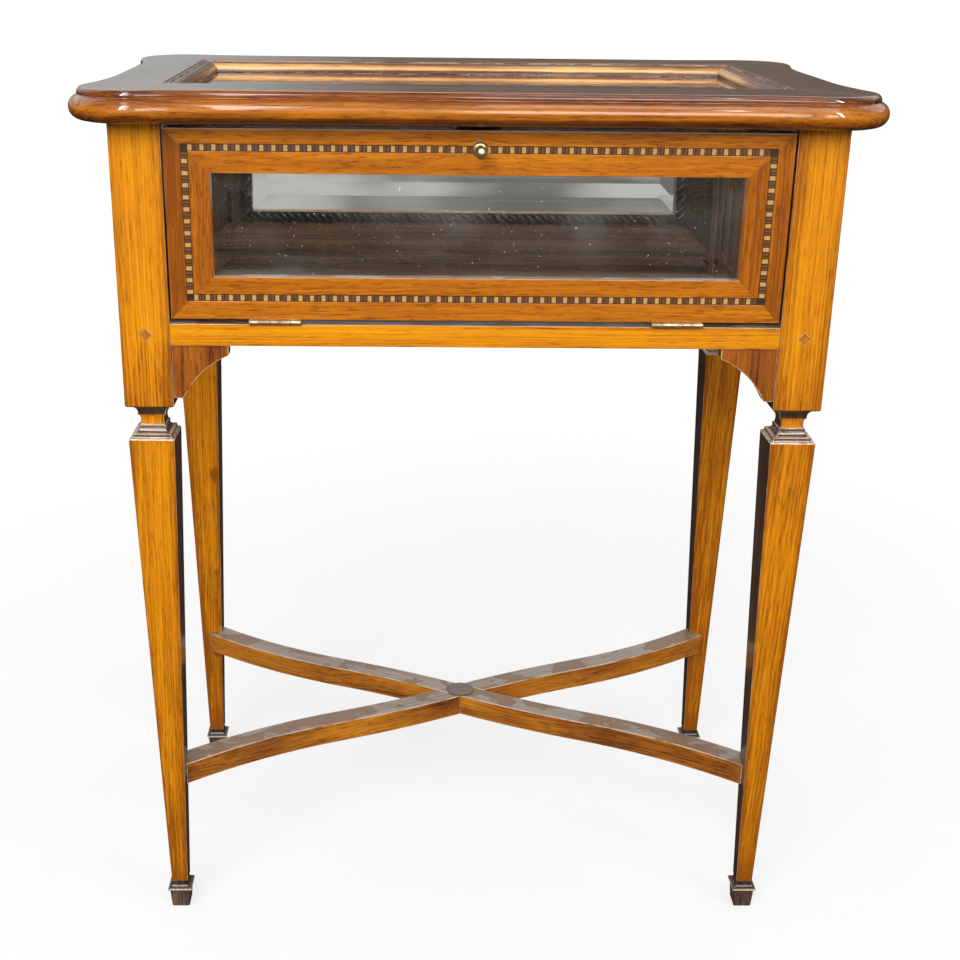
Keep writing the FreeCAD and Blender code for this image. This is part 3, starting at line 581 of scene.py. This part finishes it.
def slice_at(shape, place, normal, clear=False):
    """Cuts every face that a plane crosses. clear also takes away what lies beyond the plane."""
    geometry = [*shape.verts, *shape.edges, *shape.faces]
    return bmesh.ops.bisect_plane(shape, geom=geometry, plane_co=place, plane_no=normal, clear_outer=clear)


def dress(node, along, through, width, edges=True, tone=0.06, stain_and_light=None, finish=None, others=(), parted=()):
    """Dresses one solid. others holds (finish, rule) pairs; a rule picks faces by their middle and normal.
    parted holds heights at which upright faces are cut in two, for darkening, painted light and shade,
    and finishes that end there."""
    shape = merged_copy(node)
    for height in parted:
        slice_at(shape, ALONG_Z * height, ALONG_Z)
    lay_grain(shape, along, through, edges, tone, stain_and_light)
    ease_edges(shape, width)
    shape.normal_update()
    for face in shape.faces:
        picked = [rule(face.calc_center_median(), face.normal) for _, rule in others]
        face.material_index = picked.index(True) + 1 if True in picked else 0
    layers = [finishes[name] for name in (finish or slot_of(node), *(name for name, _ in others))]
    show(shape, "dressed_" + node, [node], *layers)


print("the tools are laid out")

# %% [markdown]
# ## Legs, rails and brackets
# The legs are sawn with the grain running up them, the rails with the grain along them. The brackets are
# cut with the grain upright, and their long hollow edge shows a pale line, painted partly as worn polish
# and partly as a highlight. Rules by height and by facing say how dark a spot is and which faces take
# another finish: painted shade under the top, in the neck's hollows and on faces turned inwards,
# painted highlights on small ledges, and wood that darkens towards the floor.

# %% Legs, feet, rails and brackets
HAIR = 0.1 * MM
LEG_EASE, FOOT_EASE, PEG_EASE = 0.6 * MM, 0.35 * MM, 0.3 * MM
FOOT_TONE, PEG_TONE = 0.15, 0.2
TAPER_TOP, BEAD_TOP, COVE_BOTTOM, COVE_TOP = 482.0 * MM, 493.5 * MM, 501.5 * MM, 511.0 * MM
ANKLE, SHADED = 60 * MM, 7 * MM
COLLAR_LOW, COLLAR_HIGH = 20.4 * MM, 22.4 * MM
# The top of the block is painted dark as shade under the top; the other amounts darken or lighten the wood
# by height and by side.
UNDER_TOP_SHADE, CASE_LIGHTENING, BLOCK_DARKENING = 0.55, -0.08, 0.16
TAPER_DARKENING, ANKLE_DARKENING, RIGHT_DARKENING, BACK_DARKENING = 0.26, 0.30, 0.12, 0.10
# The collar's edge is painted pale as a highlight.
COLLAR_TOP_DARKENING, COLLAR_EDGE_HIGHLIGHT = 0.45, -0.5
UPWARDS, SLOPING, UPRIGHT, SIDEWAYS = 0.9, 0.5, 0.1, 0.7
case_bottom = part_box("floor_board")[0].z
block_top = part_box("top_front")[0].z
leg_parts = (ANKLE, case_bottom, block_top - SHADED)


def leg_shade_and_darkening(place):
    """Painted shade darkens the top of the block under the top, and the block is browner at its lower end;
    the taper darkens towards the floor, and the ankle most of all.
    """
    if place.z > block_top - MM:
        return UNDER_TOP_SHADE
    if place.z > case_bottom - MM:
        return CASE_LIGHTENING
    if place.z > COVE_BOTTOM:
        return BLOCK_DARKENING
    if place.z > TAPER_TOP:
        return 0
    aside = RIGHT_DARKENING * (place.x > 0) + BACK_DARKENING * (place.y > 0)
    return TAPER_DARKENING * (1 - place.z / TAPER_TOP) + aside + ANKLE_DARKENING * (place.z < ANKLE - MM)


def neck_ledge(middle, normal):
    """The upper face of the neck's bead, and the ledge at the top of the taper, both painted pale as
    highlights.
    """
    bead = TAPER_TOP - MM < middle.z < COVE_BOTTOM and normal.z > UPWARDS
    return bead or (middle.z < TAPER_TOP + MM and normal.z > SLOPING)


# The hollows of the neck, which are painted dark as shade.
def neck_hollow(middle, normal):
    return TAPER_TOP < middle.z < BEAD_TOP - MM or COVE_BOTTOM < middle.z < COVE_TOP


def collar_edge(middle, normal):
    """The thin upright edge of a foot's collar, which is painted pale as a highlight."""
    return abs(normal.z) < UPRIGHT and COLLAR_LOW < middle.z < COLLAR_HIGH


def foot_darkening_and_highlight(place):
    """Dark above the collar, and painted pale as a highlight on the collar's edge only."""
    if place.z > COLLAR_HIGH:
        return COLLAR_TOP_DARKENING
    return COLLAR_EDGE_HIGHLIGHT if place.z > COLLAR_LOW - HAIR else 0.0


# Faces turned towards the table's middle, which are painted dark as shade.
def towards_middle(middle, normal):
    return normal.x * middle.x < -SIDEWAYS * abs(middle.x)


# Faces turned into the case, which take its dark colour as painted shade.
def in_case(middle, normal):
    return middle.z > case_bottom and normal.y * middle.y < -SIDEWAYS * abs(middle.y)


for corner in ("front_left", "front_right", "back_left", "back_right"):
    # Pale ledges are painted highlights; the neck's hollows and the faces turned towards the middle or into
    # the case are painted dark, as shade.
    dress("leg_" + corner, ALONG_Z, ALONG_Y, LEG_EASE, stain_and_light=leg_shade_and_darkening, parted=leg_parts,
          others=[("highlight_ledges", neck_ledge), ("dark_stain_and_shade", neck_hollow), ("dark_stain_and_shade", towards_middle),
                  ("case_wood", in_case)])
    dress("foot_" + corner, ALONG_Z, ALONG_Y, FOOT_EASE, tone=FOOT_TONE, stain_and_light=foot_darkening_and_highlight,
          others=[("highlight_ledges", collar_edge)])
for rail, along, inwards in (("rail_front", ALONG_X, ALONG_Y), ("rail_back", ALONG_X, -ALONG_Y),
                             ("rail_left", ALONG_Y, ALONG_X), ("rail_right", ALONG_Y, -ALONG_X)):
    # Inner faces take the case's dark colour as painted shade, and upper faces a worn grey that also paints
    # in their sheen.
    dress(rail, along, inwards, LEG_EASE,
          others=[("case_wood", facing(inwards)), ("worn_tops_and_sheen", facing(ALONG_Z))])
for place, through in (("front", ALONG_Y), ("back", ALONG_Y), ("side", ALONG_X)):
    dress(place + "_brackets", ALONG_Z, through, LEG_EASE, edges=False)
dress("leg_pegs", ALONG_Y, ALONG_Z, PEG_EASE, edges=False, tone=PEG_TONE, finish="bracket_wood")
print(boards, "boards so far")

# %% [markdown]
# ## Glazed frames
# The door and the three fixed sides are mitred frames. Stiles run upright and rails run level, so the
# grain meets at a right angle along each mitre. A thin strip along the door's upper edge is painted pale
# as a highlight, and its upper faces take the worn grey that also paints in their sheen. Faces of the
# fixed sides that turn into the case take its dark colour as painted shade.

# %% Door and fixed frames
FRAME_EASE, LIP = 0.4 * MM, 0.9 * MM
# A thin strip along the door's upper edge is painted pale as a highlight.
LIP_HIGHLIGHT, FRAME_STAIN = -0.8, 0.36
door_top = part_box("door_top_rail")[1].z


# The thin strip along the door's upper edge, painted pale as a highlight.
def door_lip(middle, normal):
    return middle.z > door_top - LIP and normal.y < -SLOPING


def lip_highlight(place):
    return LIP_HIGHLIGHT * (place.z > door_top - LIP / 2)


def stile_stain(place):
    return FRAME_STAIN


case_sides = (("back", ALONG_X, -ALONG_Y), ("left", ALONG_Y, ALONG_X), ("right", ALONG_Y, -ALONG_X))
door_wear_and_highlights = [("worn_tops_and_sheen", facing(ALONG_Z, UPWARDS)), ("highlight_ledges", door_lip)]
frames = [("door", ALONG_X, ALONG_Y, door_wear_and_highlights, {"parted": (door_top - LIP,), "stain_and_light": lip_highlight})]
for side, level, inwards in case_sides:
    through = ALONG_Y if level is ALONG_X else ALONG_X
    # Faces of the fixed sides that turn into the case take its dark colour as painted shade.
    frames.append((side, level, through, [("case_wood", facing(inwards))], {}))
for side, level, through, face_finishes, lip in frames:
    for rail in ("top_rail", "bottom_rail"):
        dress(f"{side}_{rail}", level, through, FRAME_EASE, others=face_finishes, **lip)
    for stile in ("left_stile", "right_stile"):
        dress(f"{side}_{stile}", ALONG_Z, through, FRAME_EASE, others=face_finishes, stain_and_light=stile_stain)
dress("floor_board", ALONG_X, ALONG_Z, FRAME_EASE, edges=False)
dress("door_stop", ALONG_X, ALONG_Y, FRAME_EASE, edges=False)
print(boards, "boards so far")

# %% [markdown]
# ## Top and stretchers
# The four lengths of the top are moulded on their outer edge, and their flat faces have a darker, greyer
# finish of their own. Painted shade darkens the small moulding and the underside of the round, and
# painted light brightens the round's upper part. The two curved stretchers cross between the legs, and
# each one is a single board whose grain runs from corner to corner. Their upper faces are a worn, dusty
# grey that also paints in the sheen on them.

# %% Top and stretchers
TOP_EASE, BUTTON_EASE, TOP_TONE = 0.35 * MM, 0.15 * MM, 0.02
FLAT_FROM, MOULDING_FROM = 0.99, 0.74
# Painted shade on the small moulding and under the bullnose, and painted light on its upper round.
MOULDING_SHADE = 0.32
UNDER_SHADE, UNDER_FALL = 0.62, 2.6
UPPER_LIGHT, UPPER_RISE = -1.14, 1.6
LEVEL = 0.98
top_low, top_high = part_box("top_front")


def top_light_and_shade(place):
    """Painted shade under the bullnose and on the small moulding above it, and painted light between them.
    """
    up = (place.z - top_low.z) / (top_high.z - top_low.z)
    if up > FLAT_FROM:
        return 0.0
    if up > MOULDING_FROM:
        return MOULDING_SHADE
    return max(UNDER_SHADE - UNDER_FALL * up, UPPER_RISE * up + UPPER_LIGHT)


for member, along in (("top_front", ALONG_X), ("top_back", ALONG_X), ("top_left", ALONG_Y),
                      ("top_right", ALONG_Y)):
    dress(member, along, ALONG_Z, TOP_EASE, edges=False, tone=TOP_TONE, stain_and_light=top_light_and_shade,
          others=[("top_flat", facing(ALONG_Z, LEVEL))])
leg_low, leg_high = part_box("leg_front_left")
leg_middle = (leg_low + leg_high) / 2
diagonal = Vector((-leg_middle.x, -leg_middle.y, 0)).normalized()
other_diagonal = Vector((-diagonal.x, diagonal.y, 0))
for stretcher, along in (("stretcher_lower", diagonal), ("stretcher_upper", other_diagonal)):
    dress(stretcher, along, ALONG_Z, LEG_EASE, edges=False, others=[("worn_tops_and_sheen", facing(ALONG_Z))])
dress("stretcher_button", ALONG_X, ALONG_Z, BUTTON_EASE, edges=False, finish="dark_stain_and_shade")
print(boards, "boards in all")

# %% [markdown]
# ## Mitred mouldings
# The bead round the top glass, the beads inside the door and the inlay line are each four lengths that
# meet at mitres. Their solids touch there, so they are parted first: a point just inside each face says
# which length the face belongs to. Each length is then merged and eased on its own, and the mitres show
# as fine lines where the grain turns.

# %% Beads
TOP_BEAD_EASE, DOOR_BEAD_EASE = 0.3 * MM, 0.2 * MM
SLOPE_TOP, SLOPE_FOOT = 2 * MM, 7 * MM
BACK_BEAD = 20 * MM
# The back bead's slope is painted pale as a highlight.
SLOPE_HIGHLIGHT, BEAD_DARKENING = -0.50, 0.34
bead_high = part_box("top_beads")[1]


def mitred_lengths(node, level, upright):
    """The four lengths of a mitred ring, one shape for each, with the direction that it runs in."""
    low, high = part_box(node)
    middle, reach = (low + high) / 2, (high - low) / 2
    for along, aside, sign in ((level, upright, 1), (level, upright, -1),
                               (upright, level, 1), (upright, level, -1)):
        shape = bmesh.new()
        shape.from_mesh(nodes[node].data)
        others = []
        for face in shape.faces:
            place = face.calc_center_median() - face.normal * HAIR - middle
            from_side = reach.dot(aside) - sign * place.dot(aside)
            from_end = reach.dot(along) - abs(place.dot(along))
            if from_side > from_end or sign * place.dot(aside) < 0:
                others.append(face)
        bmesh.ops.delete(shape, geom=others, context="FACES")
        merge(shape)
        yield along, shape


def join(whole, shape):
    """Adds a shape to a bigger one, and frees it."""
    carrier = bpy.data.meshes.new("length")
    shape.to_mesh(carrier)
    shape.free()
    whole.from_mesh(carrier)
    bpy.data.meshes.remove(carrier)


def dress_ring(node, level, upright, width, finish=None, mark=None, stain_and_light=None):
    """Dresses four mitred lengths as one piece. mark may write more about each length."""
    ring = bmesh.new()
    for along, shape in mitred_lengths(node, level, upright):
        lay_grain(shape, along, level.cross(upright), stain_and_light=stain_and_light)
        if mark:
            mark(shape, along)
        ease_edges(shape, width)
        join(ring, shape)
    show(ring, "dressed_" + node, [node], finish or finishes[slot_of(node)])


def bead_highlight_and_dark(place):
    """The back bead's slope is painted pale as a highlight. The others, and every flat top, are made dark.
    """
    slope = SLOPE_TOP < bead_high.z - place.z < SLOPE_FOOT
    return SLOPE_HIGHLIGHT if slope and place.y > bead_high.y - BACK_BEAD else BEAD_DARKENING


dress_ring("top_beads", ALONG_X, ALONG_Y, TOP_BEAD_EASE, finishes["bead_wood"], stain_and_light=bead_highlight_and_dark)
dress_ring("door_beads", ALONG_X, ALONG_Z, DOOR_BEAD_EASE)
print(boards, "boards so far")

# %% [markdown]
# ## The chequered line
# Stringing like this is sawn from a laminated stick: cream blocks and brown ones with a black line on
# each side, between two thin dark borders. It is let in flush and polished over. Each strip knows how
# far along it a point lies, so that whole blocks fit between the dark squares at the corners.

# %% Inlay
CHEQUER_PITCH = 9.5 * MM
CORNER_BLUR, INLAY_EASE = 0.2 * MM, 0.05 * MM
CREAM_DARK, CREAM_PALE = (0.48, 0.23, 0.060), (0.74, 0.42, 0.14)
BROWN_DARK, BROWN_PALE = (0.10, 0.040, 0.010), (0.23, 0.085, 0.022)
BLACK = (0.052, 0.022, 0.006)
inlay_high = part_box("door_inlay")[1]
plate_low, plate_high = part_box("knob_plate")
inlay_width = 2 * (inlay_high.z - (plate_low.z + plate_high.z) / 2)


def mark_run(shape, along):
    """Writes how far along its strip a point lies, how long the chequer is, and the pitch that fits it,
    then how far the point lies from the strip's middle line, from -1 to 1."""
    run = shape.verts.layers.float_vector.new("run")
    beside = shape.verts.layers.float.new("beside")
    across = ALONG_Y.cross(along)
    heights = [vertex.co.dot(across) for vertex in shape.verts]
    middle_line, half_width = (min(heights) + max(heights)) / 2, (max(heights) - min(heights)) / 2
    places = [vertex.co.dot(along) for vertex in shape.verts]
    middle = (min(places) + max(places)) / 2
    length = max(places) - min(places) - 2 * inlay_width
    pitch = length / round(length / CHEQUER_PITCH)
    for vertex in shape.verts:
        vertex[run] = Vector((vertex.co.dot(along) - middle, length, pitch))
        vertex[beside] = (vertex.co.dot(across) - middle_line) / half_width


line_material, line = finish_named("chequered_stringing")
run, length, pitch = line.parts(line.attribute("run"))
share = line.maths("FRACT", (run + length * 0.5) / pitch)
share = share + line.noise(line.attribute("grain"), even(40.0)) * 0.06 - 0.03
streak = line.noise(line.attribute("grain"), (500.0, 900.0, 900.0), 2.0)
cream = line.blend(streak, CREAM_DARK, CREAM_PALE)
brown = line.blend(streak, BROWN_DARK, BROWN_PALE)
is_brown = line.step(share, 0.43, 0.47) * line.step(share, 0.60, 0.57)
is_brown = is_brown + line.step(share, 0.66, 0.69) * line.step(share, 0.93, 0.89)
is_cream = line.step(share, 0.38, 0.34) * line.step(share, 0.0, 0.03)
colour = line.blend(is_cream, line.blend(is_brown, BLACK, brown), cream)
in_corner = line.step(line.maths("ABSOLUTE", run) - length * 0.5, -CORNER_BLUR, CORNER_BLUR)
colour = line.blend(in_corner, colour, BLACK)
from_middle = line.maths("ABSOLUTE", line.attribute("beside", "Fac"))
colour = line.blend(line.step(from_middle, 0.76, 0.84), colour, BLACK)
line.surface({"Base Color": colour, "Roughness": streak * 0.2 + 0.35, "Coat Weight": 0.35,
              "Coat Roughness": 0.15, "Specular IOR Level": 0.25})

dress_ring("door_inlay", ALONG_X, ALONG_Z, INLAY_EASE, line_material, mark_run)
print(f"inlay {inlay_width / MM:.1f} mm wide")

# %% [markdown]
# ## Rope mouldings
# The panes of the three fixed sides are held from inside by ebonised rope beads. A real one is turned
# as a three-strand twist and split down its length. Here one long rope is made by spinning three
# circles round its axis while they travel along it. Each length is a cut from that rope, mitred at both
# ends and split at the face of the frame, with a square tongue behind it that reaches in to the glass.

# %% Rope
STRANDS, STRAND_SIDES, STEPS_A_TURN = 3, 8, 14
ROPE_TURN = 24 * MM
ROPE_HEIGHT = 5.0 * MM
ROPE_INSET, ROPE_EASE, TONGUE_OVERLAP = 0.05 * MM, 0.05 * MM, 0.5 * MM
CUT_ANGLE = math.radians(80)


def twisted_rope(shape, radius, length, centre):
    """A rope along X, as long as whole turns allow, with strands that touch."""
    off_axis = radius / (1 + math.sin(math.pi / STRANDS))
    turns = math.ceil(length / ROPE_TURN)
    start = Matrix.Translation(centre - ALONG_X * turns * ROPE_TURN / 2)
    across = Matrix.Rotation(math.pi / 2, 4, "Y")
    for strand in range(STRANDS):
        aside = Matrix.Rotation(strand * math.tau / STRANDS, 4, "X") @ Matrix.Translation((0, 0, off_axis))
        circle = bmesh.ops.create_circle(shape, segments=STRAND_SIDES, radius=radius - off_axis,
                                         matrix=start @ aside @ across)
        rim = dict.fromkeys(edge for vertex in circle["verts"] for edge in vertex.link_edges)
        bmesh.ops.spin(shape, geom=[*circle["verts"], *rim], cent=centre, axis=ALONG_X,
                       dvec=ALONG_X * (ROPE_TURN / STEPS_A_TURN), angle=turns * math.tau,
                       steps=turns * STEPS_A_TURN)


def cut(shape, place, outwards):
    """Cuts off all that lies beyond a plane, and closes the cut."""
    made = slice_at(shape, place, outwards, clear=True)
    rim = [edge for edge in made["geom_cut"] if isinstance(edge, bmesh.types.BMEdge)]
    bmesh.ops.holes_fill(shape, edges=rim, sides=0)


def rope_length(half, width, height, tongue_width, tongue_depth):
    """One length that runs along X. Y is away from the pane's middle and Z is out of the frame's face."""
    shape = bmesh.new()
    radius = width / 2 - ROPE_INSET
    twisted_rope(shape, radius, 2 * (half + width), Vector((0, width / 2, height - radius - ROPE_INSET)))
    cut(shape, Vector(), -ALONG_Z)
    tongue = bmesh.ops.create_cube(shape, size=1.0)["verts"]
    size = (2 * (half + width), tongue_width, tongue_depth + TONGUE_OVERLAP)
    bmesh.ops.scale(shape, vec=size, verts=tongue)
    bmesh.ops.translate(shape, vec=(0, tongue_width / 2, (TONGUE_OVERLAP - tongue_depth) / 2), verts=tongue)
    for end in (-1, 1):
        cut(shape, Vector((end * half, 0, 0)), Vector((end, -1, 0)).normalized())
    lay_grain(shape, ALONG_X, ALONG_Z, edges=False)
    ease_edges(shape, ROPE_EASE, sharper_than=CUT_ANGLE, segments=1)
    return shape


ropes = bmesh.new()
rope_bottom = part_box("rope_beads")[0].z
for side, level, inwards in case_sides:
    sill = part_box(side + "_bottom_rail")
    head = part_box(side + "_top_rail")
    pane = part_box(side + "_glass")
    stiles = [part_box(f"{side}_{hand}_stile") for hand in ("left", "right")]
    inner = min(abs(corner.dot(level)) for stile in stiles for corner in stile)
    sight_bottom, sight_top = sill[1].z, head[0].z
    rope_width = sight_bottom - rope_bottom
    face = max(corner.dot(inwards) for corner in sill)
    glass_back = max(corner.dot(inwards) for corner in pane)
    lap = (pane[1] - pane[0]).dot(level) / 2 - inner
    middle = inwards * face + ALONG_Z * (sight_bottom + sight_top) / 2
    rise = (sight_top - sight_bottom) / 2
    for aside, half, apart in ((-ALONG_Z, inner, rise), (ALONG_Z, inner, rise),
                               (level, rise, inner), (-level, rise, inner)):
        shape = rope_length(half, rope_width, ROPE_HEIGHT, lap, face - glass_back)
        turned = Matrix((aside.cross(inwards), aside, inwards)).transposed().to_4x4()
        placed = Matrix.Translation(middle + aside * apart) @ turned
        bmesh.ops.transform(shape, matrix=placed, verts=shape.verts)
        join(ropes, shape)
show(ropes, "rope_mouldings", ["rope_beads"], finishes["dark_wood"])
print(4 * len(case_sides), "lengths of rope")

# %% [markdown]
# ## Glass
# The panes are clear bevelled glass. Light from the lamps has to get into the case, so to a shadow ray
# the glass is plainly transparent, and to any other ray it is real glass that bends light. Specks of
# dust and faint smears lie on it.

# %% Glass
GLASS_TINT, SHADOW_TINT, DUST_ON_GLASS = (0.93, 0.95, 0.94), (0.86, 0.88, 0.87), (0.75, 0.74, 0.72)
glass_material, glass = finish_named("bevelled_glass_clear")
clear = glass.add("BsdfPrincipled", None, {"Base Color": GLASS_TINT, "Roughness": 0.0, "IOR": 1.5,
                                           "Transmission Weight": 1.0})
place = glass.add("TexCoord", output="Object")
motes = glass.step(glass.noise(place, even(420.0), 1.0), 0.765, 0.785)
smears = glass.step(glass.noise(place, (14.0, 40.0, 14.0), 3.0), 0.50, 0.75) * 0.03
dust = glass.add("BsdfDiffuse", None, {"Color": DUST_ON_GLASS})
dusty = glass.add("MixShader", None, {0: motes * 0.7 + smears, 1: clear, 2: dust})
through_glass = glass.add("BsdfTransparent", None, {"Color": SHADOW_TINT})
shadow = glass.add("LightPath", output="Is Shadow Ray")
pane_surface = glass.add("MixShader", None, {0: shadow, 1: dusty, 2: through_glass})
glass.add("OutputMaterial", None, {"Surface": pane_surface})

panes = ("door_glass", "back_glass", "left_glass", "right_glass", "top_glass")
for node in panes:
    nodes[node].material_slots[0].link = "OBJECT"
    nodes[node].material_slots[0].material = glass_material
print(len(panes), "panes")

# %% [markdown]
# ## Brass and steel
# Old brass is yellow where fingers rub it and browner where they do not, and a fine brushing spreads its
# highlights. One recipe makes the knob's brass, the hinges' brass and the plated steel of the catch.

# %% Metal finish
BRUSHING_RELIEF = 0.04 * MM


def metal(name, bright, dull, roughness, brushing, tarnish):
    material, mix = finish_named(name)
    place = mix.add("TexCoord", output="Object")
    cloud = mix.noise(place, even(90.0), 4.0, 0.6)
    lines = mix.noise(place, (160.0, 2500.0, 2500.0), 2.0, 0.6)
    spot = mix.step(mix.noise(place, even(700.0), 2.0), 0.62, 0.70)
    share = mix.step(cloud + spot * 0.2, 0.62 - 0.4 * tarnish, 0.75)
    bump = mix.add("Bump", None, {"Strength": brushing, "Distance": BRUSHING_RELIEF,
                                  "Height": lines - spot * 0.4})
    mix.surface({
        "Base Color": mix.blend(share, bright, dull), "Metallic": 1 - share * 0.35 * tarnish,
        "Roughness": roughness + share * 0.25 * tarnish + (lines - 0.5) * 0.12, "Normal": bump})
    return material


finishes["polished_brass"] = metal(
    "brass_rubbed_bright", (0.90, 0.74, 0.42), (0.46, 0.33, 0.16), roughness=0.30, brushing=0.15,
    tarnish=0.45)
finishes["dull_brass"] = metal(
    "brass_brushed_dull", (0.66, 0.52, 0.32), (0.27, 0.175, 0.09), roughness=0.36, brushing=0.5,
    tarnish=0.85)
finishes["magnet_steel"] = metal(
    "steel_plated", even(0.60), (0.25, 0.23, 0.21), roughness=0.28, brushing=0.4, tarnish=0.4)
print(len(finishes), "finishes in all")

# %% [markdown]
# ## Knob
# The knob is a turned brass ball on a short neck, with a stem that runs through the door and a thin round
# plate under it. A sphere and two rods make it, and a shallow cone with a bevelled rim makes the plate.

# %% Knob and its plate
BALL_SEGMENTS, BALL_RINGS, ROUND_SEGMENTS = 48, 32, 64
NECK_RADIUS, STEM_RADIUS = 2.4 * MM, 2.0 * MM
PLATE_BEVEL, PLATE_BEVEL_STEPS, PLATE_TAPER = 0.35 * MM, 3, 0.72
knob_low, knob_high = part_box("knob")
knob_radius = (knob_high.z - knob_low.z) / 2
knob_z = (knob_high.z + knob_low.z) / 2
ball_y = knob_low.y + knob_radius
plate_radius = (plate_high.x - plate_low.x) / 2
facing_front = Matrix.Rotation(math.pi / 2, 4, "X")


def turned_round(shape, front, back, back_radius, front_radius):
    """A short cone or rod that lies along Y at the knob's height."""
    place = Matrix.Translation((0, (front + back) / 2, knob_z)) @ facing_front
    bmesh.ops.create_cone(shape, cap_ends=True, segments=ROUND_SEGMENTS, radius1=back_radius,
                          radius2=front_radius, depth=back - front, matrix=place)


knob = bmesh.new()
bmesh.ops.create_uvsphere(knob, u_segments=BALL_SEGMENTS, v_segments=BALL_RINGS, radius=knob_radius,
                          matrix=Matrix.Translation((0, ball_y, knob_z)) @ facing_front)
turned_round(knob, ball_y, plate_high.y, NECK_RADIUS, NECK_RADIUS)
turned_round(knob, plate_high.y, knob_high.y, STEM_RADIUS, STEM_RADIUS)
show(knob, "knob_turned", ["knob"], finishes["polished_brass"])

plate = bmesh.new()
turned_round(plate, plate_low.y, plate_high.y, plate_radius, plate_radius * PLATE_TAPER)
ease_edges(plate, PLATE_BEVEL, segments=PLATE_BEVEL_STEPS)
show(plate, "knob_plate_turned", ["knob_plate"], finishes["polished_brass"])
print(f"knob {2 * knob_radius / MM:.1f} mm across")

# %% [markdown]
# ## Hinges, screws and catch
# These keep their measured forms, with a hair's breadth taken off each sharp edge. The head of every
# screw gets its slot: two cuts part a strip of the head, and the strip is sunk into it.

# %% Hinges, screws and catch
METAL_BEVEL = 0.12 * MM
SLOT_WIDTH, SLOT_DEPTH = 0.7 * MM, 0.5 * MM


def slot_heads(shape, head_z, middle_y):
    """Cuts a slot along X across the flat heads of screws that stand upright."""
    heads = [face for face in shape.faces if abs(face.calc_center_median().z - head_z) < METAL_BEVEL]
    for aside in (-SLOT_WIDTH / 2, SLOT_WIDTH / 2):
        corners = dict.fromkeys(vertex for face in heads for vertex in face.verts)
        rims = dict.fromkeys(edge for face in heads for edge in face.edges)
        made = bmesh.ops.bisect_plane(shape, geom=[*corners, *rims, *heads], plane_no=ALONG_Y,
                                      plane_co=Vector((0, middle_y + aside, head_z)))
        heads = [piece for piece in made["geom"] if isinstance(piece, bmesh.types.BMFace)]
    strips = [face for face in heads if abs(face.calc_center_median().y - middle_y) < SLOT_WIDTH / 4]
    sunk = bmesh.ops.extrude_discrete_faces(shape, faces=strips)["faces"]
    corners = list(dict.fromkeys(vertex for face in sunk for vertex in face.verts))
    middle_z = sum(vertex.co.z for vertex in shape.verts) / len(shape.verts)
    into_wood = math.copysign(SLOT_DEPTH, middle_z - head_z)
    bmesh.ops.translate(shape, vec=ALONG_Z * into_wood, verts=corners)


for node in ("hinge_door_leaves", "hinge_rail_leaves", "hinge_pins", "catch_magnet", "catch_keeper"):
    shape = merged_copy(node)
    ease_edges(shape, METAL_BEVEL, segments=1)
    show(shape, "dressed_" + node, [node], finishes[slot_of(node)])
for node in ("hinge_door_screws", "hinge_rail_screws"):
    shape = merged_copy(node)
    low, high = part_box(node)
    slot_heads(shape, low.z if node == "hinge_door_screws" else high.z, (low.y + high.y) / 2)
    show(shape, "dressed_" + node, [node], finishes["dull_brass"])
print("hinges, screws and catch are dressed")
